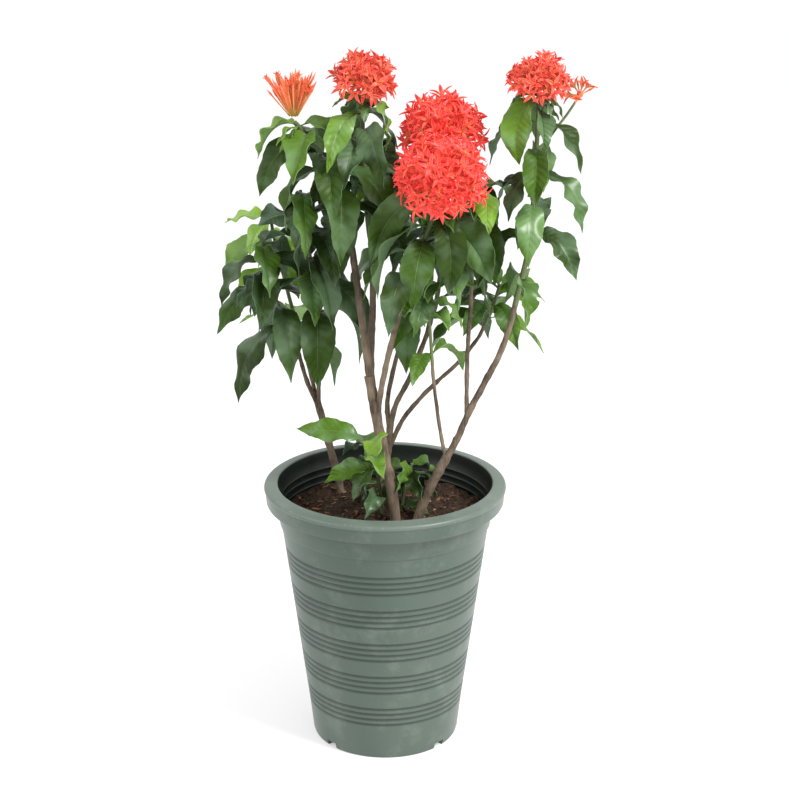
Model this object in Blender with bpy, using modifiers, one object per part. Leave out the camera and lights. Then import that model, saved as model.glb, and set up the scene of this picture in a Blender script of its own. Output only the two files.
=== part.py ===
"""A flowering ixora in its nursery pot.

A ribbed plastic pot holds soil. Four plants are rooted in it. Each has one woody
trunk that forks into canes. The upper part of each cane is a green shoot with
opposite pairs of drooping leaves, and six of them end in a head of star florets.
Lengths are in metres, +Z is up, and the origin is the middle of the pot's foot.
"""

import math
import random
from collections import namedtuple

import bmesh
import bpy
from mathutils import Matrix, Vector
from mathutils.bvhtree import BVHTree

# The pot
POT_HEIGHT = 0.285
RIM_RADIUS = 0.127
RIM_INNER_RADIUS = 0.1127
RIM_SLOPE = 0.0015
SKIRT_HEIGHT = 0.021
SKIRT_TAPER = 0.0025
COLLAR_HEIGHT = 0.045
COLLAR_STEP = 0.0016
FOOT_RADIUS = 0.0773
WALL_TOP_RADIUS = 0.1092
WALL = 0.0022
POT_SIDES = 24
GROOVE_BANDS = 5
GROOVES_IN_BAND = 4
FIRST_BAND_TOP = 0.2215
BAND_PITCH = 0.0395
GROOVE_PITCH = 0.0064
GROOVE_DEPTH = 0.0011
FLOOR = 0.0030
PAD_RADIUS = 0.030
FOOT_WIDTH = 0.016
CHANNEL_HEIGHT = 0.005
SLOT_ANGLES = (-133.0, -47.0, 47.0, 133.0)
SLOT_WIDTH = 0.013
SLOT_HEIGHT = 0.0065
DRAIN_HOLES = 4
DRAIN_HOLE_RADIUS = 0.0045

# The soil
SOIL_TOP = 0.248
SOIL_ROUGHNESS = 0.0022
SOIL_SIDES = 18
GAP = 0.0003

# The leaves
BLADE_THICKNESS = 0.0009
PETIOLE_SHARE = 0.08
PETIOLE_HALF_WIDTH = 0.0014
WIDTH_TO_LENGTH = 0.345
MIDRIB_FOLD = 0.36
NODE_CROWDING = 0.8
LEAF_STATIONS = (0.0, 0.30, 0.65, 1.0)
CLEARANCE = 0.0024
STEM_CLEARANCE = 0.0010
TURNS = (0, 14, -14, 28, -28, 42, -42, 56, -56)
LIFTS = (0, 18, -16, 34)
SIZES = (1.0, 0.8)
TO_THE_FRONT = 30.0

# The flower heads
STALK = 0.003
STAR_THICKNESS = 0.0011
STAR_THROAT = 0.0046
STAR_DISH = -0.35
STAR_FOOT = 0.0012
FLORET_ROOT = 0.15
GOLDEN_ANGLE = math.pi * (3 - math.sqrt(5))

SEED = 18

Cane = namedtuple("Cane", "plant path wood radius tip pairs turn length rise fall")
Head = namedtuple("Head", "axis radius spread core lift stars lobe buds")

# Each plant's trunk: its route, and its radius at the soil and at the fork
TRUNKS = {
    "front": (((0.014, -0.036, 0.222), (0.007, -0.033, 0.287), (0.001, -0.030, 0.315),
               (-0.008, -0.026, 0.361), (-0.016, -0.020, 0.406)), 0.0056, 0.0050),
    "right": (((0.024, -0.037, 0.224), (0.041, -0.034, 0.276), (0.053, -0.032, 0.302),
               (0.064, -0.030, 0.323)), 0.0050, 0.0046),
    "back": (((-0.006, 0.049, 0.222), (0.002, 0.055, 0.293), (0.005, 0.060, 0.322)),
             0.0044, 0.0038),
    "left": (((-0.042, 0.048, 0.222), (-0.053, 0.056, 0.275), (-0.062, 0.064, 0.307),
              (-0.073, 0.070, 0.349)), 0.0040, 0.0036),
}

# Each cane: its plant, its route from the fork to the tip, how many of the route's
# points are wood, its radius at the fork and at the tip, its leaf pairs, the compass
# angle of the first leaf, the lowest and top leaf's length, and the leaves' angle to
# the horizon where they leave the shoot and at their tips.
CANES = {
    "rose": Cane("front", ((-0.007, -0.026, 0.372), (-0.002, -0.030, 0.404), (0.006, -0.034, 0.442),
                           (0.018, -0.039, 0.491), (0.028, -0.043, 0.525), (0.039, -0.045, 0.552),
                           (0.048, -0.048, 0.580), (0.055, -0.058, 0.614)),
                 4, 0.0032, 0.0022, 6, -100, (0.086, 0.094), (25, 8), (-80, -88)),
    "amber": Cane("front", ((-0.014, -0.020, 0.396), (-0.020, -0.020, 0.444), (-0.028, -0.014, 0.503),
                            (-0.033, -0.008, 0.538), (-0.042, 0.000, 0.579), (-0.056, 0.004, 0.619),
                            (-0.074, 0.004, 0.645), (-0.089, 0.002, 0.662)),
                  4, 0.0042, 0.0024, 7, 180, (0.112, 0.076), (30, 28), (-88, -80)),
    "coral": Cane("front", ((-0.014, -0.021, 0.398), (-0.014, -0.010, 0.435), (-0.012, 0.000, 0.481),
                            (-0.013, 0.004, 0.531), (-0.017, 0.006, 0.567), (-0.020, 0.008, 0.613),
                            (-0.022, 0.006, 0.653), (-0.020, 0.004, 0.698)),
                  4, 0.0038, 0.0024, 7, -70, (0.096, 0.078), (30, 16), (-86, -76)),
    "flame": Cane("right", ((0.063, -0.030, 0.319), (0.075, -0.026, 0.342), (0.085, -0.022, 0.365),
                            (0.103, -0.020, 0.401), (0.117, -0.018, 0.429), (0.128, -0.016, 0.462),
                            (0.135, -0.014, 0.495), (0.143, -0.010, 0.529), (0.147, -0.004, 0.562),
                            (0.150, 0.000, 0.604), (0.151, 0.002, 0.644), (0.152, 0.002, 0.698)),
                  6, 0.0036, 0.0022, 7, -100, (0.080, 0.074), (28, 14), (-66, -86)),
    "summit": Cane("back", ((0.005, 0.060, 0.318), (0.011, 0.062, 0.347), (0.027, 0.062, 0.380),
                            (0.042, 0.060, 0.421), (0.054, 0.056, 0.465), (0.060, 0.050, 0.521),
                            (0.062, 0.042, 0.575), (0.0585, 0.030, 0.641)),
                   4, 0.0030, 0.0022, 6, 30, (0.090, 0.084), (25, 12), (-80, -75)),
    "far_right": Cane("back", ((0.004, 0.056, 0.300), (0.018, 0.060, 0.330), (0.036, 0.060, 0.354),
                               (0.055, 0.060, 0.374), (0.078, 0.060, 0.396), (0.098, 0.058, 0.423),
                               (0.112, 0.055, 0.455), (0.120, 0.050, 0.484)),
                      6, 0.0026, 0.0018, 4, -20, (0.080, 0.068), (20, 35), (-70, -45)),
    "rear": Cane("back", ((0.005, 0.060, 0.316), (0.002, 0.068, 0.345), (0.006, 0.078, 0.370),
                          (0.015, 0.090, 0.406), (0.020, 0.100, 0.453), (0.017, 0.106, 0.507),
                          (0.011, 0.106, 0.556), (0.007, 0.100, 0.600)),
                 4, 0.0028, 0.0018, 5, 80, (0.090, 0.072), (25, 35), (-80, -55)),
    "upright": Cane("right", ((0.084, -0.021, 0.364), (0.084, -0.012, 0.399), (0.085, -0.002, 0.433),
                              (0.088, 0.008, 0.478), (0.089, 0.010, 0.530), (0.091, 0.010, 0.567),
                              (0.099, 0.006, 0.595)),
                    5, 0.0024, 0.0017, 4, 0, (0.078, 0.066), (25, 25), (-75, -60)),
    "slim": Cane("right", ((0.063, -0.030, 0.318), (0.057, -0.022, 0.347), (0.050, -0.020, 0.398),
                           (0.047, -0.018, 0.438), (0.045, -0.016, 0.474), (0.048, -0.012, 0.499)),
                 3, 0.0020, 0.0015, 3, -140, (0.058, 0.050), (35, 45), (-60, -30)),
    "outer_left": Cane("left", ((-0.072, 0.070, 0.343), (-0.084, 0.066, 0.374), (-0.092, 0.058, 0.408),
                                (-0.104, 0.048, 0.444), (-0.115, 0.040, 0.475), (-0.123, 0.034, 0.503),
                                (-0.126, 0.030, 0.531)),
                       3, 0.0025, 0.0017, 6, -170, (0.102, 0.078), (-2, 30), (-84, -74)),
    "back_left": Cane("left", ((-0.073, 0.070, 0.345), (-0.080, 0.084, 0.374), (-0.089, 0.096, 0.404),
                               (-0.103, 0.112, 0.450), (-0.115, 0.120, 0.498), (-0.121, 0.122, 0.526),
                               (-0.122, 0.120, 0.542)),
                      3, 0.0025, 0.0017, 4, 80, (0.080, 0.068), (10, 24), (-62, -36)),
    "inner_left": Cane("left", ((-0.072, 0.070, 0.341), (-0.071, 0.064, 0.375), (-0.069, 0.052, 0.412),
                                (-0.069, 0.036, 0.460), (-0.074, 0.024, 0.506), (-0.081, 0.020, 0.549),
                                (-0.085, 0.020, 0.590)),
                       3, 0.0025, 0.0017, 6, -110, (0.096, 0.088), (25, 25), (-87, -82)),
    "low_front": Cane(None, ((-0.002, -0.018, 0.228), (-0.003, -0.019, 0.262), (-0.008, -0.022, 0.300),
                             (-0.014, -0.024, 0.323), (-0.020, -0.026, 0.340)),
                      0, 0.0022, 0.0016, 4, -90, (0.050, 0.075), (50, 28), (-62, -6)),
    "low_right": Cane(None, ((0.017, -0.008, 0.226), (0.018, -0.009, 0.261), (0.022, -0.011, 0.287),
                             (0.028, -0.012, 0.308)),
                      0, 0.0020, 0.0016, 4, -60, (0.036, 0.046), (46, 35), (-60, -60)),
}

# The side twig with the small head, which grows from the shoot "flame"
TWIG = ((0.1500, 0.0010, 0.615), (0.162, 0.005, 0.643), (0.180, 0.010, 0.667), (0.193, 0.010, 0.687))
TWIG_RADII = (0.0016, 0.0012)
TWIG_CANE = "flame"

# Each flower head: its direction, its radius to the florets' faces, how far its
# florets spread from that direction in degrees, its core's radius and how far that is
# raised as shares of the radius, its open florets, their lobes' length, and its buds
HEADS = {
    "rose": Head((0.05, -0.66, 0.75), 0.040, 92, 0.58, 0.18, 19, 0.0125, 0),
    "summit": Head((-0.05, -0.30, 0.95), 0.039, 92, 0.58, 0.18, 15, 0.0125, 2),
    "flame": Head((-0.05, -0.32, 0.94), 0.028, 90, 0.5, 0.3, 12, 0.0105, 2),
    "coral": Head((0.20, -0.32, 0.92), 0.030, 90, 0.5, 0.3, 12, 0.011, 2),
    "amber": Head((-0.06, -0.10, 0.99), 0.045, 42, 0.17, 0.17, 6, 0.009, 9),
    "twig": Head((-0.25, -0.55, 0.80), 0.011, 80, 0.36, 0.0, 4, 0.0105, 0),
}

COLOURS = {
    "pot": (0.105, 0.140, 0.118), "soil": (0.045, 0.026, 0.016), "wood": (0.165, 0.120, 0.080),
    "shoot": (0.070, 0.160, 0.050), "head": (0.85, 0.055, 0.035), "amber": (0.85, 0.20, 0.07),
}
ROUGHNESS = {"pot": 0.45, "soil": 0.95, "wood": 0.8, "shoot": 0.5, "head": 0.6, "amber": 0.6}


def clear_scene():
    for obj in list(bpy.data.objects):
        bpy.data.objects.remove(obj)


def collection(name):
    made = bpy.data.collections.new(name)
    bpy.context.scene.collection.children.link(made)
    return made


def material(kind):
    made = bpy.data.materials.get(kind) or bpy.data.materials.new(kind)
    made.use_nodes = True
    shader = made.node_tree.nodes["Principled BSDF"]
    shader.inputs["Base Color"].default_value = (*COLOURS[kind], 1)
    shader.inputs["Roughness"].default_value = ROUGHNESS[kind]
    shader.inputs["Metallic"].default_value = 0.0
    return made


def add_object(name, data, into):
    obj = bpy.data.objects.new(name, data)
    into.objects.link(obj)
    return obj


def object_from_bmesh(bm, name, into):
    mesh = bpy.data.meshes.new(name)
    bm.to_mesh(mesh)
    bm.free()
    return add_object(name, mesh, into)


def freeze(obj, kind=None):
    """Replaces obj by the mesh that its modifiers or its curve make, under the same name."""
    bpy.context.view_layer.update()
    graph = bpy.context.evaluated_depsgraph_get()
    mesh = bpy.data.meshes.new_from_object(obj.evaluated_get(graph))
    mesh.transform(obj.matrix_world)
    bm = bmesh.new()
    bm.from_mesh(mesh)
    bmesh.ops.remove_doubles(bm, verts=bm.verts[:], dist=1e-6)
    bm.to_mesh(mesh)
    bm.free()
    name, holder = obj.name, obj.users_collection[0]
    bpy.data.objects.remove(obj)
    made = add_object(name, mesh, holder)
    if kind:
        mesh.materials.clear()
        mesh.materials.append(material(kind))
        mesh.shade_smooth()
        mesh.set_sharp_from_angle(angle=math.radians(35))
    return made


def cut(obj, cutters):
    """Takes each cutter out of obj."""
    for cutter in cutters:
        modifier = obj.modifiers.new("cut " + cutter.name, "BOOLEAN")
        modifier.operation = "DIFFERENCE"
        modifier.object = cutter


def unite(base, pieces, kind):
    """Joins a collection of closed pieces to base in one union, then removes them."""
    modifier = base.modifiers.new("union", "BOOLEAN")
    modifier.operation = "UNION"
    modifier.operand_type = "COLLECTION"
    modifier.collection = pieces
    modifier.solver = "MANIFOLD"
    made = freeze(base, kind)
    for piece in list(pieces.objects):
        bpy.data.objects.remove(piece)
    bpy.data.collections.remove(pieces)
    return made


def as_cutter(obj):
    obj.hide_render = True
    obj.display_type = "WIRE"
    return obj


# The pot and its soil


def wall_radius(height):
    """The main wall's outer radius at a height, between its grooves."""
    share = height / (POT_HEIGHT - COLLAR_HEIGHT)
    return FOOT_RADIUS + (WALL_TOP_RADIUS - FOOT_RADIUS) * share


def groove_profile():
    """The zigzag of each groove band, from the top band down."""
    points = []
    for band in range(GROOVE_BANDS):
        top = FIRST_BAND_TOP - band * BAND_PITCH
        for groove in range(GROOVES_IN_BAND):
            crest = top - groove * GROOVE_PITCH
            valley = crest - GROOVE_PITCH / 2
            points.append((wall_radius(crest), crest))
            points.append((wall_radius(valley) - GROOVE_DEPTH, valley))
        foot = top - GROOVES_IN_BAND * GROOVE_PITCH
        points.append((wall_radius(foot), foot))
    return points


def pot_profile():
    """From the middle of the inner floor out, over the rim and down the outer side."""
    collar_foot = POT_HEIGHT - COLLAR_HEIGHT
    collar_top = POT_HEIGHT - WALL - RIM_SLOPE
    skirt_foot = POT_HEIGHT - SKIRT_HEIGHT
    skirt_radius = RIM_RADIUS - SKIRT_TAPER
    floor_top = CHANNEL_HEIGHT + FLOOR
    inner_foot = wall_radius(floor_top) - WALL
    inner_top = RIM_INNER_RADIUS
    collar = WALL_TOP_RADIUS + COLLAR_STEP
    return [
        (0, FLOOR + 0.0015),
        (PAD_RADIUS - 0.002, FLOOR + 0.0015),
        (PAD_RADIUS + 0.003, floor_top),
        (inner_foot, floor_top),
        (inner_top - 0.0012, collar_top - 0.004),
        (inner_top, POT_HEIGHT - 0.0006),
        (inner_top + 0.0012, POT_HEIGHT),
        (RIM_RADIUS - 0.0014, POT_HEIGHT - RIM_SLOPE * 0.6),
        (RIM_RADIUS, POT_HEIGHT - RIM_SLOPE - 0.001),
        (skirt_radius, skirt_foot),
        (skirt_radius - WALL, skirt_foot),
        (RIM_RADIUS - WALL - 0.001, collar_top - 0.002),
        (collar + 0.0035, collar_top - 0.002),
        (collar + 0.0014, skirt_foot),
        (collar, collar_foot + 0.001),
        (WALL_TOP_RADIUS, collar_foot),
        *groove_profile(),
        (FOOT_RADIUS + 0.0012, 0.004),
        (FOOT_RADIUS, 0.0),
        (FOOT_RADIUS - FOOT_WIDTH, 0.0),
        (FOOT_RADIUS - FOOT_WIDTH - 0.003, CHANNEL_HEIGHT),
        (PAD_RADIUS + 0.002, CHANNEL_HEIGHT),
        (PAD_RADIUS, 0.0),
        (0, 0.0),
    ]


def turned(profile, name, sides, into):
    """A closed profile that starts and ends on the axis, turned about Z."""
    bm = bmesh.new()
    points = [bm.verts.new((radius, 0, height)) for radius, height in profile]
    for first, second in zip(points, points[1:]):
        bm.edges.new((first, second))
    obj = object_from_bmesh(bm, name, into)
    screw = obj.modifiers.new("turn", "SCREW")
    screw.steps = sides
    screw.render_steps = sides
    screw.use_merge_vertices = True
    screw.merge_threshold = 0.0001
    return obj


def box_cutter(name, size, matrix, into):
    bm = bmesh.new()
    bmesh.ops.create_cube(bm, size=1, matrix=matrix @ Matrix.Diagonal((*size, 1)))
    return as_cutter(object_from_bmesh(bm, name, into))


def drain_cutters(into):
    """The slots through the foot ring and the round holes in the channel above it."""
    made = []
    for number, angle in enumerate(SLOT_ANGLES):
        turn = Matrix.Rotation(math.radians(angle - 90), 4, "Z")
        place = Matrix.Translation((FOOT_RADIUS, 0, SLOT_HEIGHT / 2 - 0.002))
        size = (2 * FOOT_WIDTH + 0.009, SLOT_WIDTH, SLOT_HEIGHT + 0.004)
        made.append(box_cutter(f"slot_{number}", size, turn @ place, into))
    middle = (PAD_RADIUS + FOOT_RADIUS - FOOT_WIDTH) / 2
    for number in range(DRAIN_HOLES):
        turn = Matrix.Rotation(math.tau * (number + 0.5) / DRAIN_HOLES, 4, "Z")
        bm = bmesh.new()
        bmesh.ops.create_cone(
            bm, cap_ends=True, segments=8, radius1=DRAIN_HOLE_RADIUS, radius2=DRAIN_HOLE_RADIUS,
            depth=0.03, matrix=turn @ Matrix.Translation((middle, 0, CHANNEL_HEIGHT)))
        made.append(as_cutter(object_from_bmesh(bm, f"drain_{number}", into)))
    return made


def make_pot(into, helpers):
    pot = turned(pot_profile(), "pot", POT_SIDES, into)
    cut(pot, drain_cutters(helpers))
    freeze(pot, "pot")


def soil_height(x, y):
    """The soil's uneven top, level at the pot's wall."""
    level = max(0.0, 1 - math.hypot(x, y) / WALL_TOP_RADIUS)
    waves = math.sin(95 * x + 1.3) * math.cos(88 * y) + 0.6 * math.sin(210 * x - 170 * y)
    return SOIL_TOP + SOIL_ROUGHNESS * waves + 0.008 * level


def make_soil(into, helpers):
    floor_top = CHANNEL_HEIGHT + FLOOR + GAP
    inner_foot = wall_radius(CHANNEL_HEIGHT + FLOOR) - WALL
    slope = (RIM_INNER_RADIUS - 0.0012 - inner_foot) / (POT_HEIGHT - 0.0075 - floor_top)
    edge = inner_foot + slope * (SOIL_TOP - floor_top)
    inside = math.cos(math.pi / POT_SIDES)
    rings = (0.0, 0.022, 0.044, 0.066, 0.086, edge * inside - 2 * GAP)
    profile = [(radius, SOIL_TOP) for radius in rings]
    profile += [(inner_foot * inside - 2 * GAP, floor_top), (0.0, floor_top)]
    soil = turned(profile, "soil", SOIL_SIDES, into)
    soil = freeze(soil)
    for vertex in soil.data.vertices:
        if vertex.co.z > floor_top + 0.01:
            vertex.co.z = soil_height(vertex.co.x, vertex.co.y)
    cut(soil, [root_hole(name, helpers) for name in ROOTED])
    freeze(soil, "soil")


# Trunks, canes and shoots


def tube(name, route, radii, sides, into):
    """A closed tube along a route that tapers from the first radius to the second."""
    curve = bpy.data.curves.new(name, "CURVE")
    curve.dimensions = "3D"
    curve.bevel_depth = 1.0
    curve.bevel_resolution = sides // 2 - 2
    curve.use_fill_caps = True
    spline = curve.splines.new("POLY")
    spline.points.add(len(route) - 1)
    for number, point in enumerate(route):
        share = number / (len(route) - 1)
        spline.points[number].co = (*point, 1)
        spline.points[number].radius = radii[0] + (radii[1] - radii[0]) * share
    return freeze(add_object(name, curve, into))


def split(route, after, share=0.5):
    """The route in two, parted by a thin gap on the straight stretch after one of its points."""
    first, second = route[after], route[after + 1]
    place, along = first.lerp(second, share), (second - first).normalized()
    return ([*route[:after + 1], place - along * GAP / 2],
            [place + along * GAP / 2, *route[after + 1:]])


def split_below_head(route, name):
    """Parts the head's stalk from the shoot, just below the head's core."""
    distance = HEADS[name].radius * (HEADS[name].core - HEADS[name].lift) + STALK
    reach = [(point - route[-1]).length for point in route]
    after = max(number for number, gone in enumerate(reach) if gone > distance)
    share = (reach[after] - distance) / (reach[after] - reach[after + 1])
    return split(route, after, share)


def radius_at(cane, share):
    return cane.radius + (cane.tip - cane.radius) * share


def cane_parts(name):
    """(wood route, shoot route, head's stalk route) of a cane; the first or last may be empty."""
    cane = CANES[name]
    route = [Vector(point) for point in cane.path]
    wood, stalk = [], []
    if name in HEADS:
        route, stalk = split_below_head(route, name)
    if cane.wood:
        wood, route = split(route, cane.wood - 1)
    return wood, route, stalk


def make_wood(plant, into):
    trunk, first, last = TRUNKS[plant]
    base = tube("wood_" + plant, [Vector(point) for point in trunk], (first, last), 6, into)
    forks = collection("forks " + plant)
    for name, cane in CANES.items():
        if cane.plant == plant:
            wood = cane_parts(name)[0]
            share = len(wood) / len(cane.path)
            tube("fork " + name, wood, (cane.radius, radius_at(cane, share)), 4, forks)
    unite(base, forks, "wood")


def trunk_route(name):
    if name in TRUNKS:
        return [Vector(point) for point in TRUNKS[name][0]], TRUNKS[name][1:]
    cane = CANES[name]
    return cane_parts(name)[1], (cane.radius, cane.tip)


ROOTED = [*TRUNKS, *(name for name, cane in CANES.items() if cane.plant is None)]


def root_hole(name, helpers):
    """A plain hole in the soil, a little wider than the stem that stands in it."""
    route, (first, last) = trunk_route(name)
    sunk = [route[0] - (route[1] - route[0]).normalized() * 2 * GAP, *route[1:]]
    return as_cutter(tube("hole_" + name, sunk, (first + 2 * GAP, last + 2 * GAP), 6, helpers))


# Leaves

Leaf = namedtuple("Leaf", "root azimuth length width rise fall roll bend")


def half_width(leaf, share):
    """A slim stalk, then an oval blade with a pointed tip."""
    if share <= PETIOLE_SHARE:
        return PETIOLE_HALF_WIDTH
    blade = (share - PETIOLE_SHARE) / (1 - PETIOLE_SHARE)
    oval = max(0.0, math.sin(math.pi * blade ** 0.85)) ** 0.78
    return PETIOLE_HALF_WIDTH * (1 - blade) + leaf.width / 2 * oval


def leaf_spine(leaf, steps=24):
    """Point, forward, side and up directions along the midrib, which arches and falls."""
    point, spine = Vector(leaf.root), []
    for step in range(steps + 1):
        share = step / steps
        level = math.radians(leaf.rise + (leaf.fall - leaf.rise) * (1 - (1 - share) ** 2.2))
        heading = math.radians(leaf.azimuth + leaf.bend * share)
        roll = math.radians(leaf.roll * min(1.0, share * 2))
        out = Vector((math.cos(heading), math.sin(heading), 0))
        forward = out * math.cos(level) + Vector((0, 0, math.sin(level)))
        level_side = Vector((-out.y, out.x, 0))
        side = level_side * math.cos(roll) + forward.cross(level_side) * math.sin(roll)
        spine.append((point.copy(), forward, side, forward.cross(side)))
        point += forward * leaf.length / steps
    return spine


def leaf_mesh(leaf, thickness, first=0.0):
    """A closed blade: a grid laid along the spine, folded at the midrib, then thickened."""
    spine = leaf_spine(leaf)
    last = len(LEAF_STATIONS) - 1
    bm = bmesh.new()
    bmesh.ops.create_grid(bm, x_segments=2, y_segments=last, size=1)
    for vertex in bm.verts:
        across = round(vertex.co.x)
        share = max(first, LEAF_STATIONS[round((vertex.co.y + 1) / 2 * last)])
        point, _, side, up = spine[round(share * (len(spine) - 1))]
        wide = half_width(leaf, share) if share < 1 else 0.0
        vertex.co = point + side * across * wide + up * abs(across) * wide * MIDRIB_FOLD
    bmesh.ops.remove_doubles(bm, verts=bm.verts[:], dist=1e-5)
    bmesh.ops.triangulate(bm, faces=bm.faces[:])
    bmesh.ops.solidify(bm, geom=bm.faces[:], thickness=thickness)
    bmesh.ops.recalc_face_normals(bm, faces=bm.faces[:])
    return bm


def point_on(route, distance):
    """The point at a distance along the route."""
    for first, second in zip(route, route[1:]):
        step = (second - first).length
        if distance <= step:
            return first.lerp(second, distance / step)
        distance -= step
    return route[-1]


def shoot_leaves(name):
    """A cane's leaves by the plant's rule: opposite pairs, each a quarter turn on, whose
    faces lean to the front, where the light is."""
    cane = CANES[name]
    route = cane_parts(name)[1]
    draw = random.Random(f"{SEED} {name}")
    whole = sum((b - a).length for a, b in zip(route, route[1:]))
    first_node, last_node = (0.12 if cane.plant else 0.35) * whole, whole - 0.0045
    lean = TO_THE_FRONT if cane.plant else TO_THE_FRONT + 18
    leaves = []
    for pair in range(cane.pairs):
        share = (pair / (cane.pairs - 1)) ** NODE_CROWDING
        node = point_on(route, first_node + (last_node - first_node) * share)
        for side in range(2):
            azimuth = cane.turn + 90 * pair + 180 * side + draw.uniform(-14, 14)
            length = cane.length[0] + (cane.length[1] - cane.length[0]) * share
            length *= draw.uniform(0.9, 1.1)
            leaves.append(Leaf(
                node, azimuth, length, length * WIDTH_TO_LENGTH * draw.uniform(0.84, 1.18),
                cane.rise[0] + (cane.rise[1] - cane.rise[0]) * share + draw.uniform(-8, 8),
                cane.fall[0] + (cane.fall[1] - cane.fall[0]) * share + draw.uniform(-8, 18),
                lean * math.cos(math.radians(azimuth)) + draw.uniform(-26, 26),
                draw.uniform(-30, 30)))
    return leaves


def head_envelope(name):
    """The hull round a head's florets and its core, which leaves stay out of."""
    head = HEADS[name]
    axis = Vector(head.axis).normalized()
    centre = head_centre(name)
    bm = bmesh.new()
    bmesh.ops.create_icosphere(bm, subdivisions=2, radius=head.radius + 0.006,
                               matrix=Matrix.Translation(centre))
    floor = centre + axis * head.radius * math.cos(math.radians(min(head.spread + 12, 110)))
    bmesh.ops.bisect_plane(bm, geom=bm.verts[:] + bm.edges[:] + bm.faces[:],
                           plane_co=floor, plane_no=axis, clear_inner=True)
    core = centre + axis * head.radius * head.lift
    bmesh.ops.create_icosphere(bm, subdivisions=1, radius=head.radius * head.core + 0.002,
                               matrix=Matrix.Translation(core))
    bmesh.ops.convex_hull(bm, input=bm.verts[:])
    return tree_of(bm)


def head_centre(name):
    return Vector(TWIG[-1]) if name == "twig" else Vector(CANES[name].path[-1])


def tree_of(bm):
    tree = BVHTree.FromBMesh(bm)
    bm.free()
    return tree


def object_tree(obj):
    bm = bmesh.new()
    bm.from_mesh(obj.data)
    return tree_of(bm)


def stem_trees():
    """A tube a little thicker than each stem, by the stem's name, for leaves to keep clear of."""
    rough = collection("rough stems")
    trees = {}
    routes = {name: (cane.path, cane.radius, cane.tip) for name, cane in CANES.items()}
    routes["twig"] = (TWIG, *TWIG_RADII)
    routes |= {"trunk " + plant: trunk for plant, trunk in TRUNKS.items()}
    for name, (path, first, last) in routes.items():
        radii = (first + STEM_CLEARANCE, last + STEM_CLEARANCE)
        obj = tube("rough " + name, [Vector(point) for point in path], radii, 6, rough)
        trees[name] = object_tree(obj)
        bpy.data.objects.remove(obj)
    bpy.data.collections.remove(rough)
    return trees


def tries(leaf):
    """The leaf as the rule has it, then turned, lifted and shortened by growing amounts."""
    for size in SIZES:
        for lift in LIFTS:
            for turn in TURNS:
                yield leaf._replace(azimuth=leaf.azimuth + turn, length=leaf.length * size,
                                    width=leaf.width * size, rise=leaf.rise + lift,
                                    fall=leaf.fall + lift)


def free_tree(name, leaf, stems, taken):
    """The blade's tree where it meets nothing that is already placed, else nothing."""
    whole = tree_of(leaf_mesh(leaf, CLEARANCE, 0.06))
    blade = tree_of(leaf_mesh(leaf, CLEARANCE, 0.2))
    others = [tree for stem, tree in stems.items() if stem != name]
    if blade.overlap(stems[name]) or any(whole.overlap(tree) for tree in others + taken):
        return None
    return whole


def lay_leaves(solids):
    """Every leaf of every cane, each turned and lifted until it is clear of the others."""
    taken = [object_tree(obj) for obj in solids] + [head_envelope(name) for name in HEADS]
    stems = stem_trees()
    laid = {name: [] for name in CANES}
    for name in CANES:
        for leaf in shoot_leaves(name):
            for tried in tries(leaf):
                tree = free_tree(name, tried, stems, taken)
                if tree:
                    laid[name].append(tried)
                    taken.append(tree)
                    break
    return laid


def make_shoot(name, leaves, into):
    cane = CANES[name]
    route = cane_parts(name)[1]
    share = 1 - len(route) / len(cane.path)
    base = tube("shoot_" + name, route, (radius_at(cane, share), cane.tip), 4, into)
    pieces = collection("leaves " + name)
    for number, leaf in enumerate(leaves):
        object_from_bmesh(leaf_mesh(leaf, BLADE_THICKNESS), f"leaf {number}", pieces)
    if name == TWIG_CANE:
        route, _ = split_below_head([Vector(point) for point in TWIG], "twig")
        tube("twig", route, TWIG_RADII, 4, pieces)
    unite(base, pieces, "shoot")


# Flower heads


def floret_bmesh(head, length, place):
    """A four-sided tube that widens to its throat, with four pointed lobes spread from it."""
    bm = bmesh.new()
    bmesh.ops.create_cone(bm, cap_ends=True, segments=4, radius1=STAR_FOOT, radius2=STAR_THROAT,
                          depth=length, matrix=Matrix.Translation((0, 0, length / 2)))
    mouth = [face for face in bm.faces if face.normal.z > 0.9]
    lifted = bmesh.ops.extrude_face_region(bm, geom=mouth)["geom"]
    lifted = [item for item in lifted if isinstance(item, bmesh.types.BMVert)]
    bmesh.ops.delete(bm, geom=mouth, context="FACES_ONLY")
    bmesh.ops.translate(bm, verts=lifted, vec=(0, 0, STAR_THICKNESS))
    bm.normal_update()
    collar = [face for face in bm.faces if face.calc_center_median().z > length]
    collar = [face for face in collar if abs(face.normal.z) < 0.5]
    for face in bmesh.ops.extrude_discrete_faces(bm, faces=collar)["faces"]:
        out = face.normal.copy()
        middle = face.calc_center_median()
        for high in (True, False):
            pair = [vertex for vertex in face.verts if (vertex.co.z > middle.z) == high]
            tip = (pair[0].co + pair[1].co) / 2 + out * (head.lobe - STAR_THROAT)
            tip.z -= head.lobe * STAR_DISH
            bmesh.ops.pointmerge(bm, verts=pair, merge_co=tip)
    bmesh.ops.recalc_face_normals(bm, faces=bm.faces[:])
    bmesh.ops.transform(bm, matrix=place, verts=bm.verts[:])
    return bm


def bud_bmesh(length, place):
    """A closed bud, a three-sided stalk that swells to its tip."""
    bm = bmesh.new()
    bmesh.ops.create_cone(bm, cap_ends=True, segments=3, radius1=0.0010, radius2=0.0019,
                          depth=length, matrix=place @ Matrix.Translation((0, 0, length / 2)))
    return bm


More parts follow.
